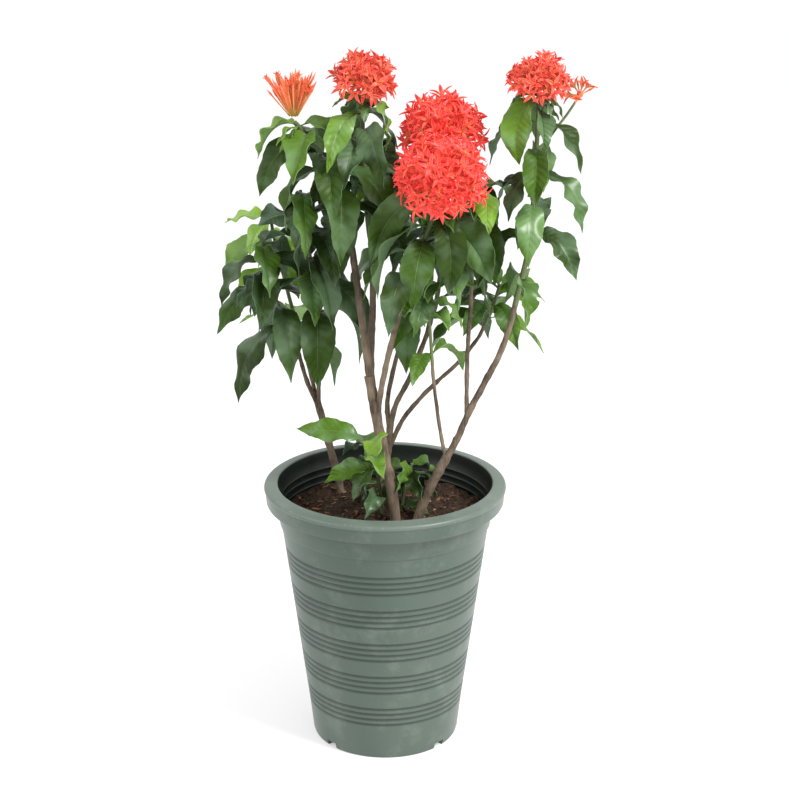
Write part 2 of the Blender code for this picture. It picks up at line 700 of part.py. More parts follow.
def floret_places(head, count, phase):
    """Directions on the head's dome by the golden angle, with seeded lengths."""
    draw = random.Random(f"{SEED} florets {count} {head.radius}")
    axis = Vector(head.axis).normalized()
    lay = axis.to_track_quat("Z", "Y").to_matrix()
    low = math.cos(math.radians(head.spread))
    for number in range(count):
        height = 1 - (1 - low) * (number + 0.5) / count
        flat = math.sqrt(max(0.0, 1 - height * height))
        turn = number * GOLDEN_ANGLE + phase
        out = lay @ Vector((flat * math.cos(turn), flat * math.sin(turn), height))
        yield out, head.radius * draw.uniform(0.93, 1.06), draw.uniform(0, math.pi / 2)


def make_head(name, stalk, stalk_radius, kind, into):
    head, centre = HEADS[name], head_centre(name)
    middle = centre + Vector(head.axis).normalized() * head.radius * head.lift
    route = [*stalk, middle] if head.lift else stalk
    base = tube("head_" + name, route, (stalk_radius, stalk_radius), 6, into)
    pieces = collection("florets " + name)
    bm = bmesh.new()
    bmesh.ops.create_icosphere(bm, subdivisions=2 if head.stars > 10 else 1,
                               radius=head.radius * head.core, matrix=Matrix.Translation(middle))
    object_from_bmesh(bm, "core", pieces)
    sunk = head.radius * max(head.lift, FLORET_ROOT)
    for out, reach, turn in floret_places(head, head.stars, 0.0):
        lay = out.to_track_quat("Z", "Y").to_matrix().to_4x4() @ Matrix.Rotation(turn, 4, "Z")
        foot = Matrix.Translation(centre + out * sunk) @ lay
        object_from_bmesh(floret_bmesh(head, reach - sunk, foot), "floret", pieces)
    for out, reach, turn in floret_places(head, head.buds, 1.9):
        foot = Matrix.Translation(centre + out * sunk) @ out.to_track_quat("Z", "Y").to_matrix().to_4x4()
        object_from_bmesh(bud_bmesh(reach * 1.1 - sunk, foot), "bud", pieces)
    unite(base, pieces, kind)


def make_heads(into):
    for name in HEADS:
        if name == "twig":
            _, stalk = split_below_head([Vector(point) for point in TWIG], "twig")
            make_head(name, stalk, TWIG_RADII[1], "head", into)
        else:
            stalk = cane_parts(name)[2]
            make_head(name, stalk, CANES[name].tip, "amber" if name == "amber" else "head", into)


def main():
    clear_scene()
    plant = collection("potted ixora")
    helpers = collection("cutters")
    make_pot(plant, helpers)
    make_soil(plant, helpers)
    for name in TRUNKS:
        make_wood(name, plant)
    for name, leaves in lay_leaves([bpy.data.objects["pot"], bpy.data.objects["soil"]]).items():
        make_shoot(name, leaves, plant)
    make_heads(plant)


main()
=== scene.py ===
"""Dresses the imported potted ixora: a smooth ribbed pot, crumbly soil, bark, veined leaves
and heads of star florets, on a plain pale stage. Lengths are in metres and +Z is up."""

import math
import random
from collections import namedtuple

import bmesh
import bpy
from bpy.props import FloatProperty, FloatVectorProperty, IntProperty, PointerProperty
from mathutils import Matrix, Vector, noise
from mathutils.bvhtree import BVHTree


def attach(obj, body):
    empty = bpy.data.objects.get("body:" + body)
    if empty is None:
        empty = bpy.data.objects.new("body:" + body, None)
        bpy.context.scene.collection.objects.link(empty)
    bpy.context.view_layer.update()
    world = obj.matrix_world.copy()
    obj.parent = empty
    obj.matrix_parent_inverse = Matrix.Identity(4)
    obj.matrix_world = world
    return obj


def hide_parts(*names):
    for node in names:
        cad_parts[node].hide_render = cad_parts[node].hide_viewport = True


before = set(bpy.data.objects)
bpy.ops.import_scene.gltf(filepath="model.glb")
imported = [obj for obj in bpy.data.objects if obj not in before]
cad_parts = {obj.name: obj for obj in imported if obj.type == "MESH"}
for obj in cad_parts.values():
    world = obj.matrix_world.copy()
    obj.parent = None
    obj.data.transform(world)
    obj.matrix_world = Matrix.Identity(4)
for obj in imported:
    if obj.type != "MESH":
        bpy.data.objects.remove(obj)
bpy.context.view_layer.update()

bl_info = {
    "name": "Potted ixora",
    "version": (1, 0, 0),
    "blender": (4, 5, 0),
    "location": "3D View > Sidebar > Ixora",
    "description": "Builds the pot, soil, canes, leaves and flower heads of a potted ixora",
    "category": "Object",
}

# The pot
POT_HEIGHT = 0.285
RIM_RADIUS = 0.127
RIM_INNER_RADIUS = 0.1127
RIM_SLOPE = 0.0015
SKIRT_HEIGHT = 0.021
SKIRT_TAPER = 0.0025
COLLAR_HEIGHT = 0.045
COLLAR_STEP = 0.0016
FOOT_RADIUS = 0.0773
WALL_TOP_RADIUS = 0.1092
WALL = 0.0022
LIP_DEPTH = 0.0077
LIP_STEP = 0.0012
LIP_RADIUS = 0.0018
BEAD_HEIGHT = 0.0064
BEAD_RADIUS = 0.0034
INNER_RINGS = 3
FIRST_RING_RISE = 0.010
RING_PITCH = 0.0075
RING_RIDGE = 0.0005
RING_WIDTH = 0.0016
GROOVE_BANDS = 5
GROOVES_IN_BAND = 4
FIRST_BAND_TOP = 0.2215
BAND_PITCH = 0.0395
GROOVE_PITCH = 0.0064
GROOVE_DEPTH = 0.0013
# How dark the grooves are painted: painted shade in the recesses
PAINTED_GROOVE_SHADE = 0.6
GROOVE_STEPS = 8
FLOOR = 0.0030
PAD_RADIUS = 0.030
FOOT_WIDTH = 0.016
CHANNEL_HEIGHT = 0.005
SLOT_ANGLES = (-133.0, -47.0, 47.0, 133.0)
SLOT_WIDTH = 0.013
SLOT_HEIGHT = 0.0065
DRAIN_HOLES = 4
DRAIN_HOLE_RADIUS = 0.0045
POT_CREASE = 40

# The soil
SOIL_TOP = 0.248
SOIL_ROUGHNESS = 0.0022
SOIL_CRUMBLE = 0.0020
SOIL_EDGE_DROP = 0.006
SOIL_EDGE_GAP = 0.0002
SOIL_DEPTH = 0.02
SOIL_TAPER = 0.97
SOIL_RINGS = 46
SOIL_TURNS = 120

# The leaves
PETIOLE_SHARE = 0.08
PETIOLE_HALF_WIDTH = 0.0014
WIDTH_TO_LENGTH = 0.345
MIDRIB_FOLD = 0.36
NODE_CROWDING = 0.8
ROUGH_STATIONS = (0.0, 0.30, 0.65, 1.0)
CLEARANCE = 0.0024
STEM_CLEARANCE = 0.0010
TURNS = (0, 14, -14, 28, -28, 42, -42, 56, -56)
LIFTS = (0, 18, -16, 34)
SIZES = (1.0, 0.8)
TO_THE_FRONT = 30.0

# The fine leaves: how they vary, how stiff the young ones are, and the small ones under
# the heads and in the joints of the shoots, with how near the tip each kind ranks
BLADE_ROWS = 24
BLADE_COLUMNS = 10
LEAF_SHADES = (-0.16, -0.08, 0.0, 0.08, 0.22)
STIFF_YOUTH = 0.5
STIFF_LIMPNESS = 0.3
COLLAR_LEAVES = 9
COLLAR_LENGTHS = (0.030, 0.048)
COLLAR_RANK = 0.6
AXIL_LEAVES = {"amber": 14, "coral": 12, "rose": 8, "inner_left": 10, "low_front": 7}
FEWEST_AXIL_LEAVES = 4
AXIL_LENGTHS = (0.045, 0.078)
SUCKER_AXIL_LENGTHS = (0.036, 0.052)
AXIL_RANK = 0.1

# The florets and buds
FLORET_ROOT = 0.15
FLORET_TIERS = (0.62, 0.74, 0.85)
FLORET_SPREAD = {"amber": 0.8}
FLORET_REACH = {"amber": 1.08, "rose": 1.1, "summit": 1.12}

# How far petals stand up from flat, in radians, and how much more in the closed heads
PETAL_ANGLES = (0.5, 0.8, 1.1, 1.35)
CLOSED_ANGLES = {"amber": 0.95, "twig": 0.35}

GOLDEN_ANGLE = math.pi * (3 - math.sqrt(5))
LUMPS = 0.22
CORE_SHARE = 0.84
CORE_LIFT = 0.10
PETAL_HALF_WIDTH = 0.0020
# The petals' glow in their own colour: painted light that lifts the shade between florets
PETAL_GLOW = 0.10
THROAT_RADIUS = 0.0006
STALK_SIDES = 5
TUBE_RADII = (0.0006, 0.0010)
BUD_STALK_RADII = (0.0005, 0.0008)
BUD_REACH = (0.66, 0.98)

# The neck and the tip of a bud: length, radii, and how near its ends are to the petal's colour
BUD_PARTS = ((0.003, (0.0008, 0.0012), 0.4, 0.8), (0.006, (0.0012, 0.0002), 0.8, 1.0))

# The gap that parts wood, shoot and stalk, and the stalk's length below a head's core
GAP = 0.0003
STALK = 0.003

SEED = 18

Cane = namedtuple("Cane", "plant path wood radius tip pairs turn length rise fall")
Head = namedtuple("Head", "axis radius spread core lift florets lobe buds")
Leaf = namedtuple("Leaf", "root azimuth length width rise fall roll bend")

# Each plant's trunk: its route, and its radius at the soil and at the fork
TRUNKS = {
    "front": (((0.014, -0.036, 0.222), (0.007, -0.033, 0.287), (0.001, -0.030, 0.315),
               (-0.008, -0.026, 0.361), (-0.016, -0.020, 0.406)), 0.0056, 0.0050),
    "right": (((0.024, -0.037, 0.224), (0.041, -0.034, 0.276), (0.053, -0.032, 0.302),
               (0.064, -0.030, 0.323)), 0.0050, 0.0046),
    "back": (((-0.006, 0.049, 0.222), (0.002, 0.055, 0.293), (0.005, 0.060, 0.322)),
             0.0044, 0.0038),
    "left": (((-0.042, 0.048, 0.222), (-0.053, 0.056, 0.275), (-0.062, 0.064, 0.307),
              (-0.073, 0.070, 0.349)), 0.0040, 0.0036),
}

# Each cane: its plant, its route from the fork to the tip, how many of the route's
# points are wood, its radius at the fork and at the tip, its leaf pairs, the compass
# angle of the first leaf, the lowest and top leaf's length, and the leaves' angle to
# the horizon where they leave the shoot and at their tips.
CANES = {
    "rose": Cane(
        "front",
        ((-0.007, -0.026, 0.372), (-0.002, -0.030, 0.404), (0.006, -0.034, 0.442),
         (0.018, -0.039, 0.491), (0.028, -0.043, 0.525), (0.039, -0.045, 0.552),
         (0.048, -0.048, 0.580), (0.055, -0.058, 0.614)),
        4, 0.0032, 0.0022, 6, -100, (0.086, 0.094), (25, 8), (-80, -88)),
    "amber": Cane(
        "front",
        ((-0.014, -0.020, 0.396), (-0.020, -0.020, 0.444), (-0.028, -0.014, 0.503),
         (-0.033, -0.008, 0.538), (-0.042, 0.000, 0.579), (-0.056, 0.004, 0.619),
         (-0.074, 0.004, 0.645), (-0.089, 0.002, 0.662)),
        4, 0.0042, 0.0024, 7, 180, (0.112, 0.076), (30, 28), (-88, -80)),
    "coral": Cane(
        "front",
        ((-0.014, -0.021, 0.398), (-0.014, -0.010, 0.435), (-0.012, 0.000, 0.481),
         (-0.013, 0.004, 0.531), (-0.017, 0.006, 0.567), (-0.020, 0.008, 0.613),
         (-0.022, 0.006, 0.653), (-0.020, 0.004, 0.698)),
        4, 0.0038, 0.0024, 7, -70, (0.096, 0.078), (30, 16), (-86, -76)),
    "flame": Cane(
        "right",
        ((0.063, -0.030, 0.319), (0.075, -0.026, 0.342), (0.085, -0.022, 0.365),
         (0.103, -0.020, 0.401), (0.117, -0.018, 0.429), (0.128, -0.016, 0.462),
         (0.135, -0.014, 0.495), (0.143, -0.010, 0.529), (0.147, -0.004, 0.562), (0.150, 0.000, 0.604),
         (0.151, 0.002, 0.644), (0.152, 0.002, 0.698)),
        6, 0.0036, 0.0022, 7, -100, (0.080, 0.074), (28, 14), (-66, -86)),
    "summit": Cane(
        "back",
        ((0.005, 0.060, 0.318), (0.011, 0.062, 0.347), (0.027, 0.062, 0.380), (0.042, 0.060, 0.421),
         (0.054, 0.056, 0.465), (0.060, 0.050, 0.521), (0.062, 0.042, 0.575), (0.0585, 0.030, 0.641)),
        4, 0.0030, 0.0022, 6, 30, (0.090, 0.084), (25, 12), (-80, -75)),
    "far_right": Cane(
        "back",
        ((0.004, 0.056, 0.300), (0.018, 0.060, 0.330), (0.036, 0.060, 0.354), (0.055, 0.060, 0.374),
         (0.078, 0.060, 0.396), (0.098, 0.058, 0.423), (0.112, 0.055, 0.455), (0.120, 0.050, 0.484)),
        6, 0.0026, 0.0018, 4, -20, (0.080, 0.068), (20, 35), (-70, -45)),
    "rear": Cane(
        "back",
        ((0.005, 0.060, 0.316), (0.002, 0.068, 0.345), (0.006, 0.078, 0.370), (0.015, 0.090, 0.406),
         (0.020, 0.100, 0.453), (0.017, 0.106, 0.507), (0.011, 0.106, 0.556), (0.007, 0.100, 0.600)),
        4, 0.0028, 0.0018, 5, 80, (0.090, 0.072), (25, 35), (-80, -55)),
    "upright": Cane(
        "right",
        ((0.084, -0.021, 0.364), (0.084, -0.012, 0.399), (0.085, -0.002, 0.433), (0.088, 0.008, 0.478),
         (0.089, 0.010, 0.530), (0.091, 0.010, 0.567), (0.099, 0.006, 0.595)),
        5, 0.0024, 0.0017, 4, 0, (0.078, 0.066), (25, 25), (-75, -60)),
    "slim": Cane(
        "right",
        ((0.063, -0.030, 0.318), (0.057, -0.022, 0.347), (0.050, -0.020, 0.398),
         (0.047, -0.018, 0.438), (0.045, -0.016, 0.474), (0.048, -0.012, 0.499)),
        3, 0.0020, 0.0015, 3, -140, (0.058, 0.050), (35, 45), (-60, -30)),
    "outer_left": Cane(
        "left",
        ((-0.072, 0.070, 0.343), (-0.084, 0.066, 0.374), (-0.092, 0.058, 0.408),
         (-0.104, 0.048, 0.444), (-0.115, 0.040, 0.475), (-0.123, 0.034, 0.503),
         (-0.126, 0.030, 0.531)),
        3, 0.0025, 0.0017, 6, -170, (0.102, 0.078), (-2, 30), (-84, -74)),
    "back_left": Cane(
        "left",
        ((-0.073, 0.070, 0.345), (-0.080, 0.084, 0.374), (-0.089, 0.096, 0.404),
         (-0.103, 0.112, 0.450), (-0.115, 0.120, 0.498), (-0.121, 0.122, 0.526),
         (-0.122, 0.120, 0.542)),
        3, 0.0025, 0.0017, 4, 80, (0.080, 0.068), (10, 24), (-62, -36)),
    "inner_left": Cane(
        "left",
        ((-0.072, 0.070, 0.341), (-0.071, 0.064, 0.375), (-0.069, 0.052, 0.412),
         (-0.069, 0.036, 0.460), (-0.074, 0.024, 0.506), (-0.081, 0.020, 0.549),
         (-0.085, 0.020, 0.590)),
        3, 0.0025, 0.0017, 6, -110, (0.096, 0.088), (25, 25), (-87, -82)),
    "low_front": Cane(
        None,
        ((-0.002, -0.018, 0.228), (-0.003, -0.019, 0.262), (-0.008, -0.022, 0.300),
         (-0.014, -0.024, 0.323), (-0.020, -0.026, 0.340)),
        0, 0.0022, 0.0016, 4, -90, (0.050, 0.075), (50, 28), (-62, -6)),
    "low_right": Cane(
        None,
        ((0.017, -0.008, 0.226), (0.018, -0.009, 0.261), (0.022, -0.011, 0.287),
         (0.028, -0.012, 0.308)),
        0, 0.0020, 0.0016, 4, -60, (0.036, 0.046), (46, 35), (-60, -60)),
}

# How young and bright each shoot's lowest and top leaves are, from 0 to 1
YOUTH = {"back_left": (0.75, 0.95), "low_front": (0.05, 0.72), "low_right": (0.12, 0.2),
         "rear": (0.3, 0.6), "slim": (0.35, 0.6), "far_right": (0.25, 0.55), "upright": (0.2, 0.4),
         "amber": (0.02, 0.5), "coral": (0.05, 0.35), "flame": (0.1, 0.25), "outer_left": (0.0, 0.06),
         "inner_left": (0.0, 0.15)}
GROWN = (0.02, 0.18)

# The side twig with the small head, which grows from the shoot "flame"
TWIG = ((0.1500, 0.0010, 0.615), (0.162, 0.005, 0.643), (0.180, 0.010, 0.667), (0.193, 0.010, 0.687))
TWIG_RADII = (0.0016, 0.0012)
TWIG_CANE = "flame"

# Each flower head: its direction, its radius to the florets' faces, how far its
# florets spread from that direction in degrees, its core's radius and how far that is
# raised as shares of the radius, its open florets, their lobes' length, and its buds
HEADS = {
    "rose": Head((0.05, -0.66, 0.75), 0.040, 92, 0.58, 0.18, 175, 0.0125, 10),
    "summit": Head((-0.05, -0.30, 0.95), 0.039, 92, 0.58, 0.18, 150, 0.0125, 10),
    "flame": Head((-0.05, -0.32, 0.94), 0.028, 90, 0.5, 0.3, 95, 0.0105, 18),
    "coral": Head((0.20, -0.32, 0.92), 0.030, 90, 0.5, 0.3, 95, 0.011, 18),
    "amber": Head((-0.06, -0.10, 0.99), 0.045, 42, 0.17, 0.17, 14, 0.009, 72),
    "twig": Head((-0.25, -0.55, 0.80), 0.011, 80, 0.36, 0.0, 5, 0.0105, 3),
}

# The camera stands where the photograph was taken from
CAMERA_PLACE = (0.0099, -1.8, 0.9688)
CAMERA_PITCH = 0.3164
CAMERA_LENS = 83.57
SENSOR_WIDTH = 36

# Each lamp: where it stands, its width and its share of the lamps' power
LAMPS = {"main lamp": ((1.5, -1.05, 2.1), 0.8, 1.0), "side lamp": ((-1.6, -0.4, 1.3), 1.2, 0.15)}
LAMP_AIM = (0, 0, 0.4)
FLOOR_REACH = 12


def colour_setting(name, description, default):
    return FloatVectorProperty(name=name, description=description, default=default,
                               subtype="COLOR", size=3, min=0, max=1)


def length_setting(name, description, default, least=0.0):
    return FloatProperty(name=name, description=description, default=default, min=least,
                         subtype="DISTANCE", unit="LENGTH")


class PotSettings(bpy.types.PropertyGroup):
    """The pot's mesh and colour."""

    turns: IntProperty(name="Turned steps", description="Faces round the pot", default=144, min=24)
    plastic: colour_setting("Plastic", "The moulded plastic's colour", (0.049, 0.080, 0.060))
    # This colour paints dust, and on the rim it also paints a pale highlight
    dust_and_rim_highlight: colour_setting("Dust", "The colour of the pale film in scuffs", (0.24, 0.275, 0.235))


class SoilSettings(bpy.types.PropertyGroup):
    """The soil's crumbs and colours."""

    crumbs: IntProperty(name="Crumbs", description="Loose clods on the soil", default=420, min=0)
    chips: IntProperty(name="Chips", description="Flat bits of litter on the soil", default=150, min=0)
    damp: colour_setting("Damp soil", "The soil's darker colour", (0.014, 0.008, 0.005))
    dry: colour_setting("Dry soil", "The soil's paler colour", (0.075, 0.042, 0.024))
    bark_chip: colour_setting("Bark chips", "The litter's redder colour", (0.34, 0.13, 0.05))
    straw: colour_setting("Straw", "The litter's paler colour", (0.36, 0.25, 0.14))


class PlantSettings(bpy.types.PropertyGroup):
    """The canes' and leaves' sizes and colours."""

    blade: length_setting("Blade thickness", "A leaf's thickness", 0.0006, 0.0002)
    wave: length_setting("Margin wave", "How far a leaf's margin waves", 0.0034)
    old: colour_setting("Old leaf", "The darkest leaves' colour", (0.022, 0.046, 0.005))
    leaf: colour_setting("Leaf", "A grown leaf's colour", (0.070, 0.155, 0.012))
    young: colour_setting("Young leaf", "A new leaf's colour", (0.28, 0.50, 0.030))
    vein: colour_setting("Vein", "The veins' colour", (0.12, 0.20, 0.08))
    young_vein: colour_setting("Young vein", "A new leaf's veins", (0.36, 0.52, 0.14))
    # The colour of the painted sheen
    sheen: colour_setting("Sheen", "The pale sheen on the upper faces", (0.24, 0.42, 0.22))
    back: colour_setting("Underside", "A grown leaf's underside", (0.075, 0.135, 0.068))
    young_back: colour_setting("Young underside", "A new leaf's underside", (0.24, 0.42, 0.09))
    back_vein: colour_setting("Underside vein", "The undersides' veins", (0.24, 0.32, 0.15))
    stem: colour_setting("Stem", "The green stems' darker colour", (0.075, 0.125, 0.035))
    pale_stem: colour_setting("Pale stem", "The green stems' paler streaks", (0.15, 0.19, 0.075))
    bark: colour_setting("Bark", "The woody canes' colour", (0.15, 0.11, 0.075))


class HeadSettings(bpy.types.PropertyGroup):
    """The florets' sizes and colours."""

    petal: length_setting("Petal thickness", "A petal's thickness", 0.0005, 0.0002)
    red: colour_setting("Red", "The two large heads' petals", (0.86, 0.045, 0.040))
    red_throat: colour_setting("Red throat", "Their throats and tubes", (0.82, 0.27, 0.11))
    coral: colour_setting("Coral", "The two smaller red heads' petals", (0.84, 0.075, 0.045))
    coral_throat: colour_setting("Coral throat", "Their throats and tubes", (0.90, 0.33, 0.13))
    tube_foot: colour_setting("Red tube's foot", "The foot of the red florets' tubes",
                              (0.60, 0.07, 0.03))
    orange: colour_setting("Orange", "The half open and the smallest head's petals",
                           (0.84, 0.13, 0.035))
    orange_throat: colour_setting("Orange throat", "Their throats and tubes", (0.90, 0.42, 0.15))
    green_foot: colour_setting("Orange tube's foot", "The foot of the orange florets' tubes",
                               (0.30, 0.25, 0.04))


class StageSettings(bpy.types.PropertyGroup):
    """The floor and the light."""

    floor: colour_setting("Floor", "The floor's colour", (0.60, 0.60, 0.60))
    glow: FloatProperty(name="Floor glow", description="How much the floor shines, as a light table",
                        default=0.4, min=0)
    sky: FloatProperty(name="Sky", description="Strength of the even light", default=1.0, min=0)
    lamp: FloatProperty(name="Lamp", description="Power of the main lamp", default=70, min=0,
                        unit="POWER")


# Materials


class Number:
    """A socket's number. Sums on it become Math nodes."""

    def __init__(self, finish, socket):
        self.finish = finish
        self.socket = socket

    def __add__(self, other):
        return self.finish.math("ADD", self, other)

    def __sub__(self, other):
        return self.finish.math("SUBTRACT", self, other)

    def __rsub__(self, other):
        return self.finish.math("SUBTRACT", other, self)

    def __mul__(self, other):
        return self.finish.math("MULTIPLY", self, other)

    def __abs__(self):
        return self.finish.math("ABSOLUTE", self)

    __radd__ = __add__
    __rmul__ = __mul__

    def fraction(self):
        return self.finish.math("FRACT", self)

    def between(self, low, high, first=0.0, last=1.0):
        """The number taken from low to high, clamped, to first to last."""
        values = {"Value": self, "From Min": low, "From Max": high, "To Min": first, "To Max": last}
        return Number(self.finish, self.finish.node("ShaderNodeMapRange", {}, values).outputs[0])


class Finish:
    """A node material under construction."""

    def __init__(self, name, roughness=0.5, **sockets):
        self.material = bpy.data.materials.new(name)
        self.material.use_nodes = True
        self.tree = self.material.node_tree
        self.shader = self.tree.nodes["Principled BSDF"]
        self.put(Roughness=roughness, **sockets)

    def link(self, value, socket):
        if isinstance(value, Number):
            value = value.socket
        if isinstance(value, bpy.types.NodeSocket):
            self.tree.links.new(value, socket)
        elif socket.type == "RGBA" and len(value) == 3:
            socket.default_value = (*value, 1)
        else:
            socket.default_value = value

    def node(self, kind, settings, values):
        made = self.tree.nodes.new(kind)
        for name, value in settings.items():
            setattr(made, name, value)
        for name, value in values.items():
            self.link(value, made.inputs[name])
        return made

    def put(self, **sockets):
        for name, value in sockets.items():
            self.link(value, self.shader.inputs[name.replace("_", " ")])

    def math(self, operation, *values):
        made = self.node("ShaderNodeMath", {"operation": operation}, dict(enumerate(values)))
        return Number(self, made.outputs[0])

    def mix(self, share, first, second):
        settings = {"data_type": "RGBA"}
        made = self.node("ShaderNodeMix", settings, {0: share, 6: first, 7: second})
        return made.outputs[2]

    def place(self, scale=(1, 1, 1)):
        """The object's own coordinates, stretched."""
        where = self.node("ShaderNodeTexCoord", {}, {}).outputs["Object"]
        return self.node("ShaderNodeMapping", {}, {"Vector": where, "Scale": scale}).outputs[0]

    def clouds(self, scale, detail=3.0, where=None, rough=0.5):
        values = {"Scale": scale, "Detail": detail, "Roughness": rough}
        values["Vector"] = where or self.place()
        return Number(self, self.node("ShaderNodeTexNoise", {}, values).outputs[0])

    def attribute(self, name):
        made = self.node("ShaderNodeAttribute", {"attribute_name": name}, {})
        return Number(self, made.outputs["Fac"])

    def bump(self, height, distance, strength=1.0):
        values = {"Height": height, "Distance": distance, "Strength": strength}
        self.put(Normal=self.node("ShaderNodeBump", {}, values).outputs[0])
        return self.material


def plastic_finish(settings):
    """Satin moulded plastic: dusty; paler on the rim, partly dust and partly painted highlight; darkened
    with painted shade in the grooves and inside.
    """
    finish = Finish("moulded_plastic", Specular_IOR_Level=0.4, Coat_Weight=0.12, Coat_Roughness=0.25)
    scuffs = finish.clouds(26, 6, rough=0.7).between(0.52, 0.74)
    film = finish.clouds(7, 3, finish.place((1, 1, 0.45))).between(0.35, 0.7)
    specks = finish.clouds(330, 2).between(0.66, 0.74)
    rim = finish.attribute("rim")
    # Pale marks: real dust in scuffs, film and specks, and on the rim dust plus a painted highlight
    dust_and_rim_highlight = scuffs * 0.26 + film * 0.2 + rim * 0.2 + specks * (rim * 0.4 + 0.1)
    outside = finish.mix(dust_and_rim_highlight, settings.plastic, settings.dust_and_rim_highlight)
    # Painted shade: the inside is painted near black, and the grooves darker by their share
    inside = tuple(channel * 0.16 for channel in settings.plastic)
    finish.put(Base_Color=finish.mix(finish.attribute("shade"), outside, inside))
    finish.put(Roughness=dust_and_rim_highlight * 0.3 + 0.34)
    grain = finish.clouds(900, 2)
    return finish.bump(grain + scuffs * 0.5, 0.00012, 0.35)


def soil_finish(settings):
    finish = Finish("potting_soil", 0.95, Specular_IOR_Level=0.25)
    crumbs = finish.clouds(240, 6, rough=0.7).between(0.40, 0.68)
    bits = finish.attribute("tint")
    colour = finish.mix(crumbs, settings.damp, settings.dry)
    kinds = finish.clouds(60, 2).between(0.42, 0.58)
    litter = finish.mix(kinds, settings.bark_chip, settings.straw)
    finish.put(Base_Color=finish.mix(bits, colour, litter))
    return finish.bump(crumbs, 0.0008, 0.7)


def bark_finish(settings):
    """Thin bark with long pale cracks."""
    finish = Finish("bark", 0.8, Specular_IOR_Level=0.3)
    cracks = finish.clouds(420, 5, finish.place((1, 1, 0.16)), 0.65).between(0.42, 0.66)
    patches = finish.clouds(45, 3).between(0.38, 0.62)
    dark = tuple(channel * 0.42 for channel in settings.bark)
    pale = tuple(min(1, channel * 1.75 + 0.02) for channel in settings.bark)
    colour = finish.mix(cracks, dark, settings.bark)
    finish.put(Base_Color=finish.mix(patches * 0.55, colour, pale))
    return finish.bump(cracks, 0.0006, 0.8)


def shoot_finish(settings):
    """Young green stem, browner where it is older."""
    finish = Finish("green_stem", 0.55, Specular_IOR_Level=0.35)
    streaks = finish.clouds(300, 3, finish.place((1, 1, 0.2))).between(0.4, 0.7)
    green = finish.mix(streaks, settings.stem, settings.pale_stem)
    finish.put(Base_Color=finish.mix(finish.attribute("tint"), settings.bark, green))
    return finish.bump(streaks, 0.0003, 0.5)


def vein_masks(finish):
    """The midrib, the side veins that feather from it and the swell between them, over a
    leaf's own map."""
    where = finish.node("ShaderNodeUVMap", {"uv_map": "blade"}, {}).outputs[0]
    split = finish.node("ShaderNodeSeparateXYZ", {}, {"Vector": where})
    along, across = Number(finish, split.outputs[0]), Number(finish, split.outputs[1])
    off = abs(across - 0.5) * 2
    midrib = off.between(0.012, 0.05, 1.0, 0.0)
    beat = (along * 12.0 - off * 1.5).fraction()
    side = abs(beat - 0.5).between(0.41, 0.50) * off.between(0.75, 1.0, 1.0, 0.0)
    return midrib, side, abs(beat - 0.5).between(0.0, 0.5)


def leaf_green(finish, settings):
    """Old, grown and young leaves' greens by the leaf's own tint, a third of it for old."""
    tint = finish.attribute("tint")
    dark = finish.mix(tint.between(0, 0.34), settings.old, settings.leaf)
    return finish.mix(tint.between(0.34, 1.0), dark, settings.young)


def leaf_finish(settings):
    """The glossy upper face, quilted between faint pale veins, with patches of painted sheen."""
    finish = Finish("leaf_top", Specular_IOR_Level=0.15, Coat_Roughness=0.3)
    midrib, side, quilt = vein_masks(finish)
    mottle = finish.clouds(60, 4).between(0.3, 0.72)
    green = leaf_green(finish, settings)
    deep = finish.mix(0.5, green, (0, 0, 0))
    colour = finish.mix(mottle * 0.7 + 0.3, deep, green)
    pale = finish.mix(finish.attribute("tint"), settings.vein, settings.young_vein)
    colour = finish.mix(side * 0.08, colour, pale)
    # Painted reflection: pale sheen colour mixed in patches; the same patches carry the clear coat
    sheen = finish.clouds(24, 2).between(0.46, 0.62)
    colour = finish.mix(sheen * 0.22, colour, settings.sheen)
    finish.put(Base_Color=finish.mix(midrib * 0.4, colour, pale))
    finish.put(Roughness=0.5 - mottle * 0.12, Coat_Weight=sheen * 0.5)
    return finish.bump(0.9 - quilt * 0.5 - midrib * 0.6 + mottle * 0.5, 0.0008, 0.9)


def leaf_back_finish(settings):
    """The paler, matt underside with raised veins."""
    finish = Finish("leaf_back", 0.6, Specular_IOR_Level=0.4)
    midrib, side, quilt = vein_masks(finish)
    colour = finish.mix(finish.attribute("tint"), settings.back, settings.young_back)
    finish.put(Base_Color=finish.mix(midrib * 0.7 + side * 0.35, colour, settings.back_vein))
    return finish.bump(midrib + side * 0.5 + quilt * 0.2, 0.0006, 0.7)


def petal_finish(name, face, throat, foot, contrast):
    """Soft petals whose tone varies by the contrast, warmer at the throat and on the tubes, and glowing
    faintly in their own colour as painted light that lifts their shade.
    """
    finish = Finish(name, 0.58, Specular_IOR_Level=0.3, Subsurface_Weight=0.3,
                    Subsurface_Radius=(0.004, 0.001, 0.0006), Subsurface_Scale=1.0)
    along, tint = finish.attribute("along"), finish.attribute("tint")
    bright = tuple(min(1, channel * 1.1 + 0.06) for channel in face)
    deep = tuple(channel * (1 - contrast) for channel in face)
    colour = finish.mix(tint, deep, bright)
    tube = finish.mix(tint, tuple(channel * (1 - contrast) for channel in throat), throat)
    tube = finish.mix(along.between(0.0, 0.2, 0.8, 0.0), tube, foot)
    warm = along.between(0.05, 0.55, 0.9, 0.0)
    colour = finish.mix(warm, colour, tube)
    finish.put(Base_Color=colour, Emission_Color=colour, Emission_Strength=PETAL_GLOW)
    return finish.bump(finish.clouds(500, 2), 0.0002, 0.3)


# Meshes


def as_mesh(bm, name):
    mesh = bpy.data.meshes.new(name)
    bm.to_mesh(mesh)
    bm.free()
    return mesh


